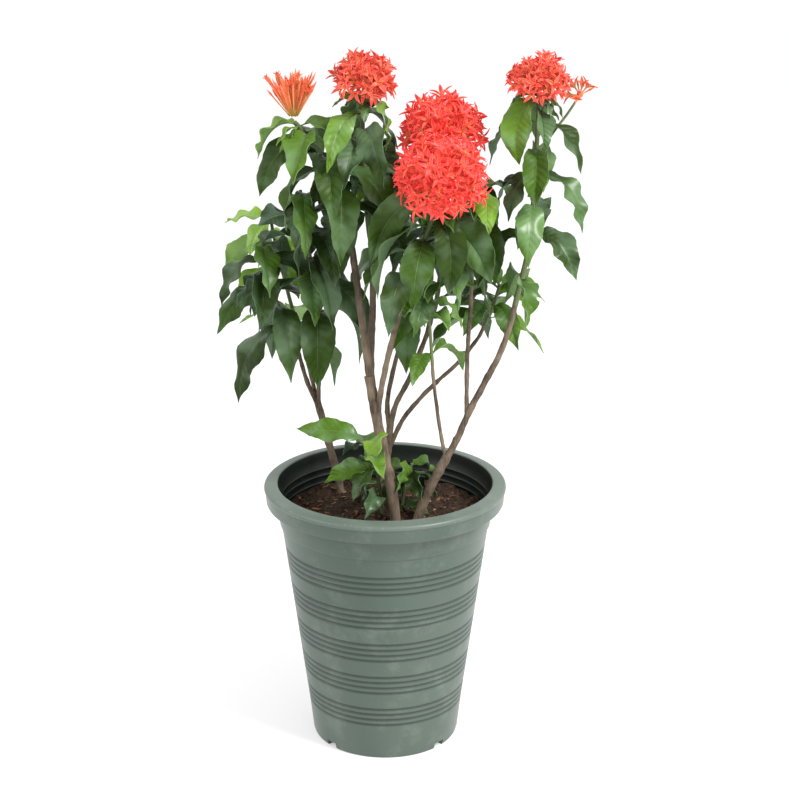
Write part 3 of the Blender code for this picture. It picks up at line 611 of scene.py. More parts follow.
def finished_mesh(piece):
    """A new mesh of the object as its modifiers or its bevel make it."""
    bpy.context.view_layer.update()
    graph = bpy.context.evaluated_depsgraph_get()
    return bpy.data.meshes.new_from_object(piece.evaluated_get(graph))


def add_piece(name, bm, finishes, nodes, slot, sharp=50):
    """Makes the piece, which rides on the one body and stands for its nodes."""
    mesh = as_mesh(bm, name)
    mesh.shade_smooth()
    mesh.set_sharp_from_angle(angle=math.radians(sharp))
    for finish in finishes:
        mesh.materials.append(finish)
    piece = bpy.data.objects.new(name, mesh)
    bpy.context.scene.collection.objects.link(piece)
    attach(piece, "root")
    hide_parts(*nodes)
    return piece


def smooth_route(points, steps=4):
    """More points on a smooth curve through the route's points."""
    points = [Vector(point) for point in points]
    ends = [points[0] * 2 - points[1], *points, points[-1] * 2 - points[-2]]
    route = []
    for a, b, c, d in zip(ends, ends[1:], ends[2:], ends[3:]):
        for step in range(steps):
            t = step / steps
            route.append(0.5 * ((2 * b) + (c - a) * t + (2 * a - 5 * b + 4 * c - d) * t * t
                                + (3 * b - a - 3 * c + d) * t ** 3))
    return route + [points[-1]]


def faces_of(vertices):
    """The faces round those of the vertices that are left after a merge."""
    return list({face for vertex in vertices if vertex.is_valid for face in vertex.link_faces})


def sweep(bm, route, radii, sides, finish=0, knots=0.0, tint=None):
    """A round stem along a route. Knots are slight swellings where leaves have grown."""
    rows = len(route) - 1
    made = bmesh.ops.create_grid(bm, x_segments=rows, y_segments=sides, size=1)["verts"]
    aim, frames = Vector((0.3, -1, 0.1)), []
    for number, point in enumerate(route):
        ahead = route[min(number + 1, rows)] - route[max(number - 1, 0)]
        side = ahead.cross(aim).normalized()
        frames.append((point, side, ahead.cross(side).normalized()))
    for vertex in made:
        row = round((vertex.co.x + 1) / 2 * rows)
        turn = (vertex.co.y + 1) * math.pi
        point, side, up = frames[row]
        share = row / rows
        radius = radii[0] + (radii[1] - radii[0]) * share
        radius *= 1 + knots * max(0.0, math.sin(point.z * 190)) ** 8
        vertex.co = point + (side * math.cos(turn) + up * math.sin(turn)) * radius
        if knots:
            vertex.co += (vertex.co - point) * 0.22 * noise.noise(vertex.co * 160)
        if tint:
            vertex[bm.verts.layers.float["tint"]] = tint
    bmesh.ops.remove_doubles(bm, verts=made, dist=1e-6)
    edges = {edge for face in faces_of(made) for edge in face.edges if edge.is_boundary}
    bmesh.ops.holes_fill(bm, edges=list(edges))
    faces = faces_of(made)
    for face in faces:
        face.material_index = finish
    bmesh.ops.recalc_face_normals(bm, faces=faces)


def split(route, after, share=0.5):
    first, second = route[after], route[after + 1]
    place, along = first.lerp(second, share), (second - first).normalized()
    return ([*route[:after + 1], place - along * GAP / 2],
            [place + along * GAP / 2, *route[after + 1:]])


def split_below_head(route, name):
    """Parts the head's stalk from the shoot, just below the head's core."""
    distance = HEADS[name].radius * (HEADS[name].core - HEADS[name].lift) + STALK
    reach = [(point - route[-1]).length for point in route]
    after = max(number for number, gone in enumerate(reach) if gone > distance)
    share = (reach[after] - distance) / (reach[after] - reach[after + 1])
    return split(route, after, share)


def cane_parts(name):
    """(wood route, shoot route, head's stalk route) of a cane; the first or last may be empty."""
    cane = CANES[name]
    route = [Vector(point) for point in cane.path]
    wood, stalk = [], []
    if name in HEADS:
        route, stalk = split_below_head(route, name)
    if cane.wood:
        wood, route = split(route, cane.wood - 1)
    return wood, route, stalk


def radius_at(cane, share):
    return cane.radius + (cane.tip - cane.radius) * share


# Where the leaves are, by the same rule as the solids


def half_width(leaf, share):
    """A slim stalk, then an oval blade with a pointed tip."""
    if share <= PETIOLE_SHARE:
        return PETIOLE_HALF_WIDTH
    blade = (share - PETIOLE_SHARE) / (1 - PETIOLE_SHARE)
    oval = max(0.0, math.sin(math.pi * blade ** 0.85)) ** 0.78
    return PETIOLE_HALF_WIDTH * (1 - blade) + leaf.width / 2 * oval


def leaf_spine(leaf, steps=24):
    """Point, forward, side and up directions along the midrib, which arches and falls."""
    point, spine = Vector(leaf.root), []
    for step in range(steps + 1):
        share = step / steps
        level = math.radians(leaf.rise + (leaf.fall - leaf.rise) * (1 - (1 - share) ** 2.2))
        heading = math.radians(leaf.azimuth + leaf.bend * share)
        roll = math.radians(leaf.roll * min(1.0, share * 2))
        out = Vector((math.cos(heading), math.sin(heading), 0))
        forward = out * math.cos(level) + Vector((0, 0, math.sin(level)))
        level_side = Vector((-out.y, out.x, 0))
        side = level_side * math.cos(roll) + forward.cross(level_side) * math.sin(roll)
        spine.append((point.copy(), forward, side, forward.cross(side)))
        point += forward * leaf.length / steps
    return spine


def rough_blade(leaf, thickness, first=0.0):
    """The solid leaf's few faces, thickened, to test what it meets."""
    spine = leaf_spine(leaf)
    last = len(ROUGH_STATIONS) - 1
    bm = bmesh.new()
    bmesh.ops.create_grid(bm, x_segments=2, y_segments=last, size=1)
    for vertex in bm.verts:
        across = round(vertex.co.x)
        share = max(first, ROUGH_STATIONS[round((vertex.co.y + 1) / 2 * last)])
        point, _, side, up = spine[round(share * (len(spine) - 1))]
        wide = half_width(leaf, share) if share < 1 else 0.0
        vertex.co = point + side * across * wide + up * abs(across) * wide * MIDRIB_FOLD
    bmesh.ops.remove_doubles(bm, verts=bm.verts[:], dist=1e-5)
    bmesh.ops.triangulate(bm, faces=bm.faces[:])
    bmesh.ops.solidify(bm, geom=bm.faces[:], thickness=thickness)
    bmesh.ops.recalc_face_normals(bm, faces=bm.faces[:])
    return tree_of(bm)


def tree_of(bm):
    tree = BVHTree.FromBMesh(bm)
    bm.free()
    return tree


def route_length(route):
    return sum((second - first).length for first, second in zip(route, route[1:]))


def point_on(route, distance):
    """The point at a distance along the route."""
    for first, second in zip(route, route[1:]):
        step = (second - first).length
        if distance <= step:
            return first.lerp(second, distance / step)
        distance -= step
    return route[-1]


def shoot_leaves(name):
    """A cane's leaves by the plant's rule: opposite pairs, each a quarter turn on, whose
    faces lean to the front, where the light is."""
    cane = CANES[name]
    route = cane_parts(name)[1]
    draw = random.Random(f"{SEED} {name}")
    whole = route_length(route)
    first_node, last_node = (0.12 if cane.plant else 0.35) * whole, whole - 0.0045
    lean = TO_THE_FRONT if cane.plant else TO_THE_FRONT + 18
    leaves = []
    for pair in range(cane.pairs):
        share = (pair / (cane.pairs - 1)) ** NODE_CROWDING
        node = point_on(route, first_node + (last_node - first_node) * share)
        for side in range(2):
            azimuth = cane.turn + 90 * pair + 180 * side + draw.uniform(-14, 14)
            length = cane.length[0] + (cane.length[1] - cane.length[0]) * share
            length *= draw.uniform(0.9, 1.1)
            leaves.append(Leaf(
                node, azimuth, length, length * WIDTH_TO_LENGTH * draw.uniform(0.84, 1.18),
                cane.rise[0] + (cane.rise[1] - cane.rise[0]) * share + draw.uniform(-8, 8),
                cane.fall[0] + (cane.fall[1] - cane.fall[0]) * share + draw.uniform(-8, 18),
                lean * math.cos(math.radians(azimuth)) + draw.uniform(-26, 26),
                draw.uniform(-30, 30)))
    return leaves


def collar_leaves(name):
    """Small young leaves close under a head."""
    route = cane_parts(name)[1]
    draw = random.Random(f"{SEED} collar {name}")
    for number in range(COLLAR_LEAVES):
        length = draw.uniform(*COLLAR_LENGTHS)
        yield Leaf(point_on(route[::-1], 0.003 + 0.0012 * number),
                   math.degrees(number * GOLDEN_ANGLE) + draw.uniform(-20, 20),
                   length, length * 0.38, draw.uniform(20, 55), draw.uniform(-70, -20),
                   draw.uniform(-40, 40), draw.uniform(-30, 30))


def axil_leaves(name):
    """Smaller leaves of the side buds, which fill the foliage between the pairs."""
    route = cane_parts(name)[1]
    draw = random.Random(f"{SEED} axil {name}")
    whole = route_length(route)
    lengths = AXIL_LENGTHS if CANES[name].plant else SUCKER_AXIL_LENGTHS
    for _ in range(AXIL_LEAVES.get(name, FEWEST_AXIL_LEAVES)):
        length = draw.uniform(*lengths)
        yield Leaf(point_on(route, whole * draw.uniform(0.35, 0.97)), draw.uniform(0, 360),
                   length, length * draw.uniform(0.36, 0.46), draw.uniform(0, 50),
                   draw.uniform(-85, -50), draw.uniform(-40, 40), draw.uniform(-30, 30))


def upright(direction):
    """The turn that takes Z to a direction."""
    return direction.to_track_quat("Z", "Y").to_matrix().to_4x4()


def head_centre(name):
    return Vector(TWIG[-1]) if name == "twig" else Vector(CANES[name].path[-1])


def head_envelope(name):
    """The hull round a head's florets and its core, which leaves stay out of."""
    head = HEADS[name]
    axis = Vector(head.axis).normalized()
    centre = head_centre(name)
    bm = bmesh.new()
    bmesh.ops.create_icosphere(bm, subdivisions=2, radius=head.radius + 0.006,
                               matrix=Matrix.Translation(centre))
    lean = math.radians(min(head.spread + 12, 110))
    floor = centre + axis * head.radius * math.cos(lean)
    bmesh.ops.bisect_plane(bm, geom=bm.verts[:] + bm.edges[:] + bm.faces[:],
                           plane_co=floor, plane_no=axis, clear_inner=True)
    core = centre + axis * head.radius * head.lift
    bmesh.ops.create_icosphere(bm, subdivisions=1, radius=head.radius * head.core + 0.002,
                               matrix=Matrix.Translation(core))
    bmesh.ops.convex_hull(bm, input=bm.verts[:])
    return tree_of(bm)


def rough_stem(path, radii):
    """The solid stem's tree: a six-sided tube, as the solids' rule makes it."""
    curve = bpy.data.curves.new("rough stem", "CURVE")
    curve.dimensions = "3D"
    curve.bevel_depth = 1.0
    curve.bevel_resolution = 1
    curve.use_fill_caps = True
    spline = curve.splines.new("POLY")
    spline.points.add(len(path) - 1)
    for number, point in enumerate(path):
        share = number / (len(path) - 1)
        spline.points[number].co = (*point, 1)
        spline.points[number].radius = radii[0] + (radii[1] - radii[0]) * share
    stem = bpy.data.objects.new("rough stem", curve)
    bpy.context.scene.collection.objects.link(stem)
    mesh = finished_mesh(stem)
    bm = bmesh.new()
    bm.from_mesh(mesh)
    bmesh.ops.remove_doubles(bm, verts=bm.verts[:], dist=1e-6)
    bpy.data.objects.remove(stem)
    bpy.data.meshes.remove(mesh)
    return tree_of(bm)


def stem_trees():
    routes = {name: (cane.path, cane.radius, cane.tip) for name, cane in CANES.items()}
    routes["twig"] = (TWIG, *TWIG_RADII)
    routes |= {"trunk " + plant: trunk for plant, trunk in TRUNKS.items()}
    return {name: rough_stem(path, (first + STEM_CLEARANCE, last + STEM_CLEARANCE))
            for name, (path, first, last) in routes.items()}


def tries(leaf):
    """The leaf as the rule has it, then turned, lifted and shortened by growing amounts."""
    for size in SIZES:
        for lift in LIFTS:
            for turn in TURNS:
                yield leaf._replace(azimuth=leaf.azimuth + turn, length=leaf.length * size,
                                    width=leaf.width * size, rise=leaf.rise + lift,
                                    fall=leaf.fall + lift)


def free_tree(name, leaf, stems, taken):
    """The blade's tree where it meets nothing that is already placed, else nothing."""
    whole = rough_blade(leaf, CLEARANCE, 0.06)
    blade = rough_blade(leaf, CLEARANCE, 0.2)
    others = [tree for stem, tree in stems.items() if stem != name]
    if blade.overlap(stems[name]) or any(whole.overlap(tree) for tree in others + taken):
        return None
    return whole


def node_tree(name):
    bm = bmesh.new()
    bm.from_mesh(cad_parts[name].data)
    return tree_of(bm)


def lay_leaves():
    """Every leaf of every cane, turned and lifted until it is clear of the others, and how
    near the tip it ranks."""
    taken = [node_tree("pot"), node_tree("soil")] + [head_envelope(name) for name in HEADS]
    stems = stem_trees()
    laid = {name: [] for name in CANES}
    wanted = [(name, leaf, (number / (2 * CANES[name].pairs - 1)) ** 2)
              for name in CANES for number, leaf in enumerate(shoot_leaves(name))]
    wanted += [(name, leaf, COLLAR_RANK)
               for name in CANES if name in HEADS for leaf in collar_leaves(name)]
    wanted += [(name, leaf, AXIL_RANK) for name in CANES for leaf in axil_leaves(name)]
    for name, leaf, rank in wanted:
        for tried in tries(leaf):
            tree = free_tree(name, tried, stems, taken)
            if tree:
                laid[name].append((tried, rank))
                taken.append(tree)
                break
    return laid


# The pot


def wall_radius(height):
    """The main wall's outer radius at a height, between its grooves."""
    share = height / (POT_HEIGHT - COLLAR_HEIGHT)
    return FOOT_RADIUS + (WALL_TOP_RADIUS - FOOT_RADIUS) * share


def groove_profile():
    """Rounded grooves with narrow lands between them, from the top band down."""
    points = []
    for band in range(GROOVE_BANDS):
        top = FIRST_BAND_TOP - band * BAND_PITCH
        for groove in range(GROOVES_IN_BAND):
            crest = top - groove * GROOVE_PITCH
            for step in range(GROOVE_STEPS):
                height = crest - GROOVE_PITCH * step / GROOVE_STEPS
                dip = max(0.0, math.sin(math.pi * (step - 1.5) / 5)) if 1 < step < 7 else 0
                points.append((wall_radius(height) - GROOVE_DEPTH * dip, height))
        foot = top - GROOVES_IN_BAND * GROOVE_PITCH
        points.append((wall_radius(foot), foot))
    return points


def inner_radius(height):
    """The wall's inner radius at a height, from the floor to just under the rim."""
    floor_top, lip = CHANNEL_HEIGHT + FLOOR, POT_HEIGHT - LIP_DEPTH
    inner_foot = wall_radius(floor_top) - WALL
    share = (height - floor_top) / (lip - floor_top)
    return inner_foot + (RIM_INNER_RADIUS - LIP_STEP - inner_foot) * share


def inner_rings():
    """Fine ridges round the inside of the collar."""
    points = []
    for number in range(INNER_RINGS):
        foot = POT_HEIGHT - COLLAR_HEIGHT + FIRST_RING_RISE + number * RING_PITCH
        for rise, ridge in ((0.0, 0.0), (RING_WIDTH / 2, RING_RIDGE), (RING_WIDTH, 0.0)):
            points.append((inner_radius(foot + rise) - ridge, foot + rise))
    return points


def arc(centre, radius, first, last, steps=4):
    """Points of a rounded corner, between two angles in degrees."""
    turns = (math.radians(first + (last - first) * step / steps) for step in range(steps + 1))
    return [(centre[0] + radius * math.cos(turn), centre[1] + radius * math.sin(turn)) for turn in turns]


def pot_profile():
    """From the middle of the inner floor out, over the rim and down the outer side."""
    collar_foot = POT_HEIGHT - COLLAR_HEIGHT
    skirt_foot = POT_HEIGHT - SKIRT_HEIGHT
    skirt_radius = RIM_RADIUS - SKIRT_TAPER
    floor_top = CHANNEL_HEIGHT + FLOOR
    inner_foot = wall_radius(floor_top) - WALL
    lip = POT_HEIGHT - LIP_DEPTH
    collar = WALL_TOP_RADIUS + COLLAR_STEP
    outer_top = POT_HEIGHT - RIM_SLOPE
    bead_foot = POT_HEIGHT - BEAD_HEIGHT
    return [
        (0, FLOOR + 0.0015), (PAD_RADIUS - 0.002, FLOOR + 0.0015), (PAD_RADIUS + 0.003, floor_top),
        (inner_foot - 0.002, floor_top), (inner_foot, floor_top + 0.002),
        (inner_radius(collar_foot), collar_foot), *inner_rings(), (inner_radius(lip), lip),
        *arc((RIM_INNER_RADIUS + 0.0016, POT_HEIGHT - LIP_RADIUS), LIP_RADIUS, 180, 90),
        *arc((RIM_RADIUS - BEAD_RADIUS, outer_top - BEAD_RADIUS), BEAD_RADIUS, 80, -10, 6),
        (RIM_RADIUS - 0.0004, bead_foot), (RIM_RADIUS - 0.0011, bead_foot - 0.0006),
        (skirt_radius + 0.0003, skirt_foot + 0.0016), (skirt_radius - 0.0005, skirt_foot),
        (skirt_radius - WALL + 0.0004, skirt_foot), (skirt_radius - WALL, skirt_foot + 0.0008),
        (RIM_RADIUS - WALL - 0.002, outer_top - 0.0045),
        (collar + 0.0035, outer_top - 0.0045), (collar + 0.0016, skirt_foot + 0.002),
        (collar + 0.0002, collar_foot + 0.0016), (collar - 0.0004, collar_foot + 0.0004),
        (WALL_TOP_RADIUS, collar_foot), (wall_radius(collar_foot - 0.004), collar_foot - 0.004),
        *groove_profile(),
        (FOOT_RADIUS + 0.0012, 0.0045), *arc((FOOT_RADIUS - 0.0012, 0.0016), 0.0016, 0, -90),
        (FOOT_RADIUS - FOOT_WIDTH + 0.001, 0.0), (FOOT_RADIUS - FOOT_WIDTH - 0.003, CHANNEL_HEIGHT),
        (PAD_RADIUS + 0.002, CHANNEL_HEIGHT), (PAD_RADIUS, 0.0), (0, 0.0),
    ]


def drain_cutter():
    """The slots through the foot ring and the round holes in the channel, as one mesh."""
    bm = bmesh.new()
    for angle in SLOT_ANGLES:
        turn = Matrix.Rotation(math.radians(angle - 90), 4, "Z")
        place = Matrix.Translation((FOOT_RADIUS, 0, SLOT_HEIGHT / 2 - 0.002))
        size = Matrix.Diagonal((2 * FOOT_WIDTH + 0.009, SLOT_WIDTH, SLOT_HEIGHT + 0.004, 1))
        bmesh.ops.create_cube(bm, size=1, matrix=turn @ place @ size)
    middle = (PAD_RADIUS + FOOT_RADIUS - FOOT_WIDTH) / 2
    for number in range(DRAIN_HOLES):
        turn = Matrix.Rotation(math.tau * (number + 0.5) / DRAIN_HOLES, 4, "Z")
        bmesh.ops.create_cone(
            bm, cap_ends=True, segments=24, radius1=DRAIN_HOLE_RADIUS, radius2=DRAIN_HOLE_RADIUS,
            depth=0.03, matrix=turn @ Matrix.Translation((middle, 0, CHANNEL_HEIGHT)))
    cutter = bpy.data.objects.new("drain cutter", as_mesh(bm, "drain cutter"))
    bpy.context.scene.collection.objects.link(cutter)
    return cutter


def shade_pot(mesh):
    """Marks the grooves and the inside, which get painted shade, and the rim, which is painted paler
    with dust and a painted highlight. Inside counts as a little past the inner wall, and further at the
    lip, whose edge is rounded."""
    past_wall, past_lip, above = 0.0004, 0.0014, 0.001
    lip = POT_HEIGHT - LIP_DEPTH
    painted_shades, rims = [], []
    for vertex in mesh.vertices:
        x, y, height = vertex.co
        out = math.hypot(x, y)
        reach = inner_radius(min(height, lip)) + (past_lip if height > lip + above else past_wall)
        inside = height > CHANNEL_HEIGHT and out < reach
        depth = wall_radius(height) - out if height < FIRST_BAND_TOP + above else 0.0
        groove = max(0.0, min(1.0, depth / GROOVE_DEPTH))
        painted_shades.append(1.0 if inside else PAINTED_GROOVE_SHADE * groove)
        rims.append(1.0 if height > POT_HEIGHT - BEAD_HEIGHT and not inside else 0.0)
    for name, values in (("shade", painted_shades), ("rim", rims)):
        mesh.attributes.new(name, "FLOAT", "POINT").data.foreach_set("value", values)


class IXORA_OT_pot(bpy.types.Operator):
    """Turn the pot from its profile and cut its drain slots and holes"""

    bl_idname = "ixora.pot"
    bl_label = "Pot"

    def execute(self, context):
        settings = context.scene.ixora_pot
        bm = bmesh.new()
        points = [bm.verts.new((radius, 0, height)) for radius, height in pot_profile()]
        edges = [bm.edges.new(pair) for pair in zip(points, points[1:])]
        bmesh.ops.spin(bm, geom=points + edges, cent=(0, 0, 0), axis=(0, 0, 1), angle=math.tau,
                       steps=settings.turns, use_merge=True)
        bmesh.ops.remove_doubles(bm, verts=bm.verts[:], dist=1e-5)
        bmesh.ops.recalc_face_normals(bm, faces=bm.faces[:])
        piece = add_piece("nursery_pot", bm, [plastic_finish(settings)], ["pot"], "pot", POT_CREASE)
        cutter = drain_cutter()
        modifier = piece.modifiers.new("drains", "BOOLEAN")
        modifier.operation = "DIFFERENCE"
        modifier.object = cutter
        modifier.solver = "MANIFOLD"
        cut = finished_mesh(piece)
        piece.modifiers.clear()
        piece.data = cut
        cut.set_sharp_from_angle(angle=math.radians(POT_CREASE))
        shade_pot(cut)
        bpy.data.objects.remove(cutter)
        if len(cut.polygons) < settings.turns:
            raise RuntimeError("the pot's drains removed its wall")
        return {"FINISHED"}


# The soil


def soil_height(x, y):
    """The soil's uneven top, level at the pot's wall."""
    level = max(0.0, 1 - math.hypot(x, y) / WALL_TOP_RADIUS)
    waves = math.sin(95 * x + 1.3) * math.cos(88 * y) + 0.6 * math.sin(210 * x - 170 * y)
    return SOIL_TOP + SOIL_ROUGHNESS * waves + 0.008 * level


def soil_disc(bm, radius):
    """The soil's body: a disc of rings, crumbled on top and closed below."""
    made = bmesh.ops.create_grid(bm, x_segments=SOIL_RINGS, y_segments=SOIL_TURNS, size=1)["verts"]
    for vertex in made:
        out = radius * (vertex.co.x + 1) / 2
        turn = (vertex.co.y + 1) * math.pi
        x, y = out * math.cos(turn), out * math.sin(turn)
        crumble = noise.fractal(Vector((x, y, 0)) * 190, 0.6, 2.0, 4) * SOIL_CRUMBLE
        vertex.co = (x, y, soil_height(x, y) + crumble)
    bmesh.ops.remove_doubles(bm, verts=made, dist=1e-6)
    rim = [edge for edge in bm.edges if edge.is_boundary]
    low = bmesh.ops.extrude_edge_only(bm, edges=rim)["geom"]
    for vertex in low:
        if isinstance(vertex, bmesh.types.BMVert):
            vertex.co.x *= SOIL_TAPER
            vertex.co.y *= SOIL_TAPER
            vertex.co.z = SOIL_TOP - SOIL_DEPTH
    bmesh.ops.holes_fill(bm, edges=[edge for edge in bm.edges if edge.is_boundary])


class IXORA_OT_soil(bpy.types.Operator):
    """Fill the pot with crumbly soil and scatter clods and bits of litter on it"""

    bl_idname = "ixora.soil"
    bl_label = "Soil"

    def execute(self, context):
        settings = context.scene.ixora_soil
        draw = random.Random(SEED)
        bm = bmesh.new()
        tint = bm.verts.layers.float.new("tint")
        reach = inner_radius(SOIL_TOP - SOIL_EDGE_DROP) - SOIL_EDGE_GAP
        soil_disc(bm, reach)
        for number in range(settings.crumbs + settings.chips):
            out, turn = (reach - 0.005) * math.sqrt(draw.random()), draw.uniform(0, math.tau)
            x, y = out * math.cos(turn), out * math.sin(turn)
            place = Matrix.Translation((x, y, soil_height(x, y) + 0.0004))
            tilt = Matrix.Rotation(draw.uniform(-0.5, 0.5), 4, (draw.random(), draw.random(), 0.1))
            spin = Matrix.Rotation(draw.uniform(0, math.tau), 4, "Z")
            if number < settings.crumbs:
                size = draw.uniform(0.0008, 0.0030)
                shape = Matrix.Diagonal((size, size * draw.uniform(0.6, 1), size * 0.7, 1))
                made = bmesh.ops.create_icosphere(bm, subdivisions=1, radius=1,
                                                  matrix=place @ tilt @ spin @ shape)
                shade = draw.uniform(0, 0.22)
            else:
                size = draw.uniform(0.003, 0.009)
                shape = Matrix.Diagonal((size, size * draw.uniform(0.2, 0.5), 0.0007, 1))
                made = bmesh.ops.create_cube(bm, size=1, matrix=place @ tilt @ spin @ shape)
                shade = draw.uniform(0.15, 1)
            for vertex in made["verts"]:
                vertex[tint] = shade
        bmesh.ops.recalc_face_normals(bm, faces=bm.faces[:])
        add_piece("potting_soil", bm, [soil_finish(settings)], ["soil"], "soil", 60)
        return {"FINISHED"}


# Canes and leaves


class IXORA_OT_canes(bpy.types.Operator):
    """Grow each plant's woody trunk and the lower part of its canes"""

    bl_idname = "ixora.canes"
    bl_label = "Woody canes"

    def execute(self, context):
        bark = bark_finish(context.scene.ixora_plant)
        for plant, (trunk, first, last) in TRUNKS.items():
            bm = bmesh.new()
            sweep(bm, smooth_route(trunk, 8), (first * 1.06, last * 1.03), 16, knots=0.12)
            for name, cane in CANES.items():
                if cane.plant == plant:
                    wood = cane_parts(name)[0]
                    end = radius_at(cane, len(wood) / len(cane.path))
                    sweep(bm, smooth_route(wood, 8), (cane.radius, end), 14, knots=0.12)
            add_piece("canes_" + plant, bm, [bark], ["wood_" + plant], "bark")
        return {"FINISHED"}


def fine_blade(bm, leaf, settings, draw, youth):
    """A leaf with a sunk midrib, a curved blade and a waved margin, on its own map. Young
    leaves are stiffer."""
    spine = leaf_spine(leaf, BLADE_ROWS)
    made = bmesh.ops.create_grid(bm, x_segments=BLADE_COLUMNS, y_segments=BLADE_ROWS, size=1)["verts"]
    uv, tint = bm.loops.layers.uv["blade"], bm.verts.layers.float["tint"]
    for face in faces_of(made):
        face.material_index = 2
        for loop in face.loops:
            flat = loop.vert.co
            loop[uv].uv = ((flat.y + 1) / 2, (flat.x + 1) / 2)
    limp = STIFF_LIMPNESS if youth > STIFF_YOUTH else 1.0
    waves, phase = draw.uniform(2.0, 3.6), draw.uniform(0, math.tau)
    shade = draw.choice(LEAF_SHADES)
    curl, twist = draw.uniform(0.0, 0.5), draw.uniform(-1.0, 1.0) * limp
    fold, slim = MIDRIB_FOLD * draw.uniform(0.9, 0.9 + 1.3 * limp), draw.uniform(1 - 0.22 * limp, 1.0)
    for vertex in made:
        across, share = vertex.co.x, (vertex.co.y + 1) / 2
        point, forward, side, up = spine[round(share * BLADE_ROWS)]
        turned = Matrix.Rotation(twist * share, 3, forward)
        side, up = turned @ side, turned @ up
        wide = half_width(leaf, share) * slim if share < 1 else 0.0
        if PETIOLE_SHARE < share < 1:
            notches = 0.03 * math.sin(9 * math.tau * share + phase)
            wide *= math.sin(math.pi * share ** 0.9) ** 0.35 + notches
        lift = wide * (fold * abs(across) - curl * across * across)
        ripple = math.sin(waves * math.tau * share + phase + (1.7 if across < 0 else 0))
        lift += settings.wave * ripple * across * across * min(1.0, wide / 0.008)
        vertex.co = point + side * across * wide + up * lift
        vertex[tint] = min(1.0, max(0.0, youth + shade + 0.10 * (share - 0.5)))
    bmesh.ops.remove_doubles(bm, verts=made, dist=1e-6)
    upper = bmesh.ops.solidify(bm, geom=faces_of(made), thickness=settings.blade)["geom"]
    for face in upper:
        if isinstance(face, bmesh.types.BMFace):
            face.material_index = 1


class IXORA_OT_shoots(bpy.types.Operator):
    """Grow each green shoot with its opposite pairs of drooping leaves"""

    bl_idname = "ixora.shoots"
    bl_label = "Leafy shoots"

    def execute(self, context):
        settings = context.scene.ixora_plant
        finishes = [shoot_finish(settings), leaf_finish(settings), leaf_back_finish(settings)]
        for name, leaves in lay_leaves().items():
            cane, youth = CANES[name], YOUTH.get(name, GROWN)
            route = cane_parts(name)[1]
            draw = random.Random(f"{SEED} fine {name}")
            bm = bmesh.new()
            bm.loops.layers.uv.new("blade")
            bm.verts.layers.float.new("tint")
            share = 1 - len(route) / len(cane.path)
            sweep(bm, smooth_route(route, 5), (radius_at(cane, share), cane.tip), 12, tint=0.8)
            if name == TWIG_CANE:
                twig, _ = split_below_head([Vector(point) for point in TWIG], "twig")
                sweep(bm, smooth_route(twig, 5), TWIG_RADII, 10, tint=0.9)
            for leaf, rank in leaves:
                young = youth[0] + (youth[1] - youth[0]) * rank
                fine_blade(bm, leaf, settings, draw, young)
            add_piece("foliage_" + name, bm, finishes, ["shoot_" + name], "leaf", 70)
        return {"FINISHED"}


# Flower heads


def petal_place(along, across, head, lift):
    """A point of a pointed petal that leaves the throat along X and stands up by an angle,
    less so towards its tip."""
    width = PETAL_HALF_WIDTH * math.sin(math.pi * min(1.0, along * 0.94 + 0.06) ** 0.72)
    reach = head.lobe * along * 1.15
    angle = lift * (1 - 0.35 * along)
    cup = 0.9 * width * across * across
    out = THROAT_RADIUS + reach * math.cos(angle)
    return Vector((out, width * across, reach * math.sin(angle) + cup))


def petal_mesh(head, lift, thickness):
    bm = bmesh.new()
    along_layer = bm.verts.layers.float.new("along")
    bm.verts.layers.float.new("tint")
    bmesh.ops.create_grid(bm, x_segments=2, y_segments=4, size=1)
    for vertex in bm.verts:
        across, along = vertex.co.x, (vertex.co.y + 1) / 2
        vertex.co = petal_place(along, across if along < 1 else 0.0, head, lift)
        vertex[along_layer] = along
    bmesh.ops.remove_doubles(bm, verts=bm.verts[:], dist=1e-6)
    bmesh.ops.solidify(bm, geom=bm.faces[:], thickness=thickness)
    bmesh.ops.recalc_face_normals(bm, faces=bm.faces[:])
    return as_mesh(bm, "petal")


def floret_mesh(head, lift, thickness):
    """A floret that stands on its throat: four petals, not quite alike, and a style."""
    bm = bmesh.new()
    bm.verts.layers.float.new("along")
    bm.verts.layers.float.new("tint")
    for lean, quarters in ((0.16, (0, 2)), (-0.12, (1, 3))):
        petal = petal_mesh(head, lift + lean, thickness)
        for quarter in quarters:
            put_mesh(bm, petal, Matrix.Rotation(math.pi / 2 * quarter, 4, "Z"), 0)
        bpy.data.meshes.remove(petal)
    bmesh.ops.create_cone(bm, cap_ends=True, segments=4, radius1=0.0006, radius2=0.0003, depth=0.005,
                          matrix=Matrix.Translation((0, 0, 0.0022)))
    return as_mesh(bm, "floret")


def put_mesh(bm, mesh, place, shade):
    """Adds a copy of a small mesh to the head, moved into place and shaded."""
    made = mesh.copy()
    made.transform(place)
    made.attributes["tint"].data.foreach_set("value", [shade] * len(made.vertices))
    bm.from_mesh(made)
    bpy.data.meshes.remove(made)


def dome(head, count, phase, draw, share):
    """Directions on the head's dome by the golden angle, over a share of its spread."""
    axis = Vector(head.axis).normalized()
    lay = axis.to_track_quat("Z", "Y").to_matrix()
    low = math.cos(math.radians(head.spread * share))
    for number in range(count):
        height = 1 - (1 - low) * (number + 0.5) / count
        flat = math.sqrt(max(0.0, 1 - height * height))
        turn = number * GOLDEN_ANGLE + phase
        out = Vector((flat * math.cos(turn), flat * math.sin(turn), height))
        out += Vector((draw.uniform(-0.09, 0.09), draw.uniform(-0.09, 0.09), 0))
        yield (lay @ out).normalized()


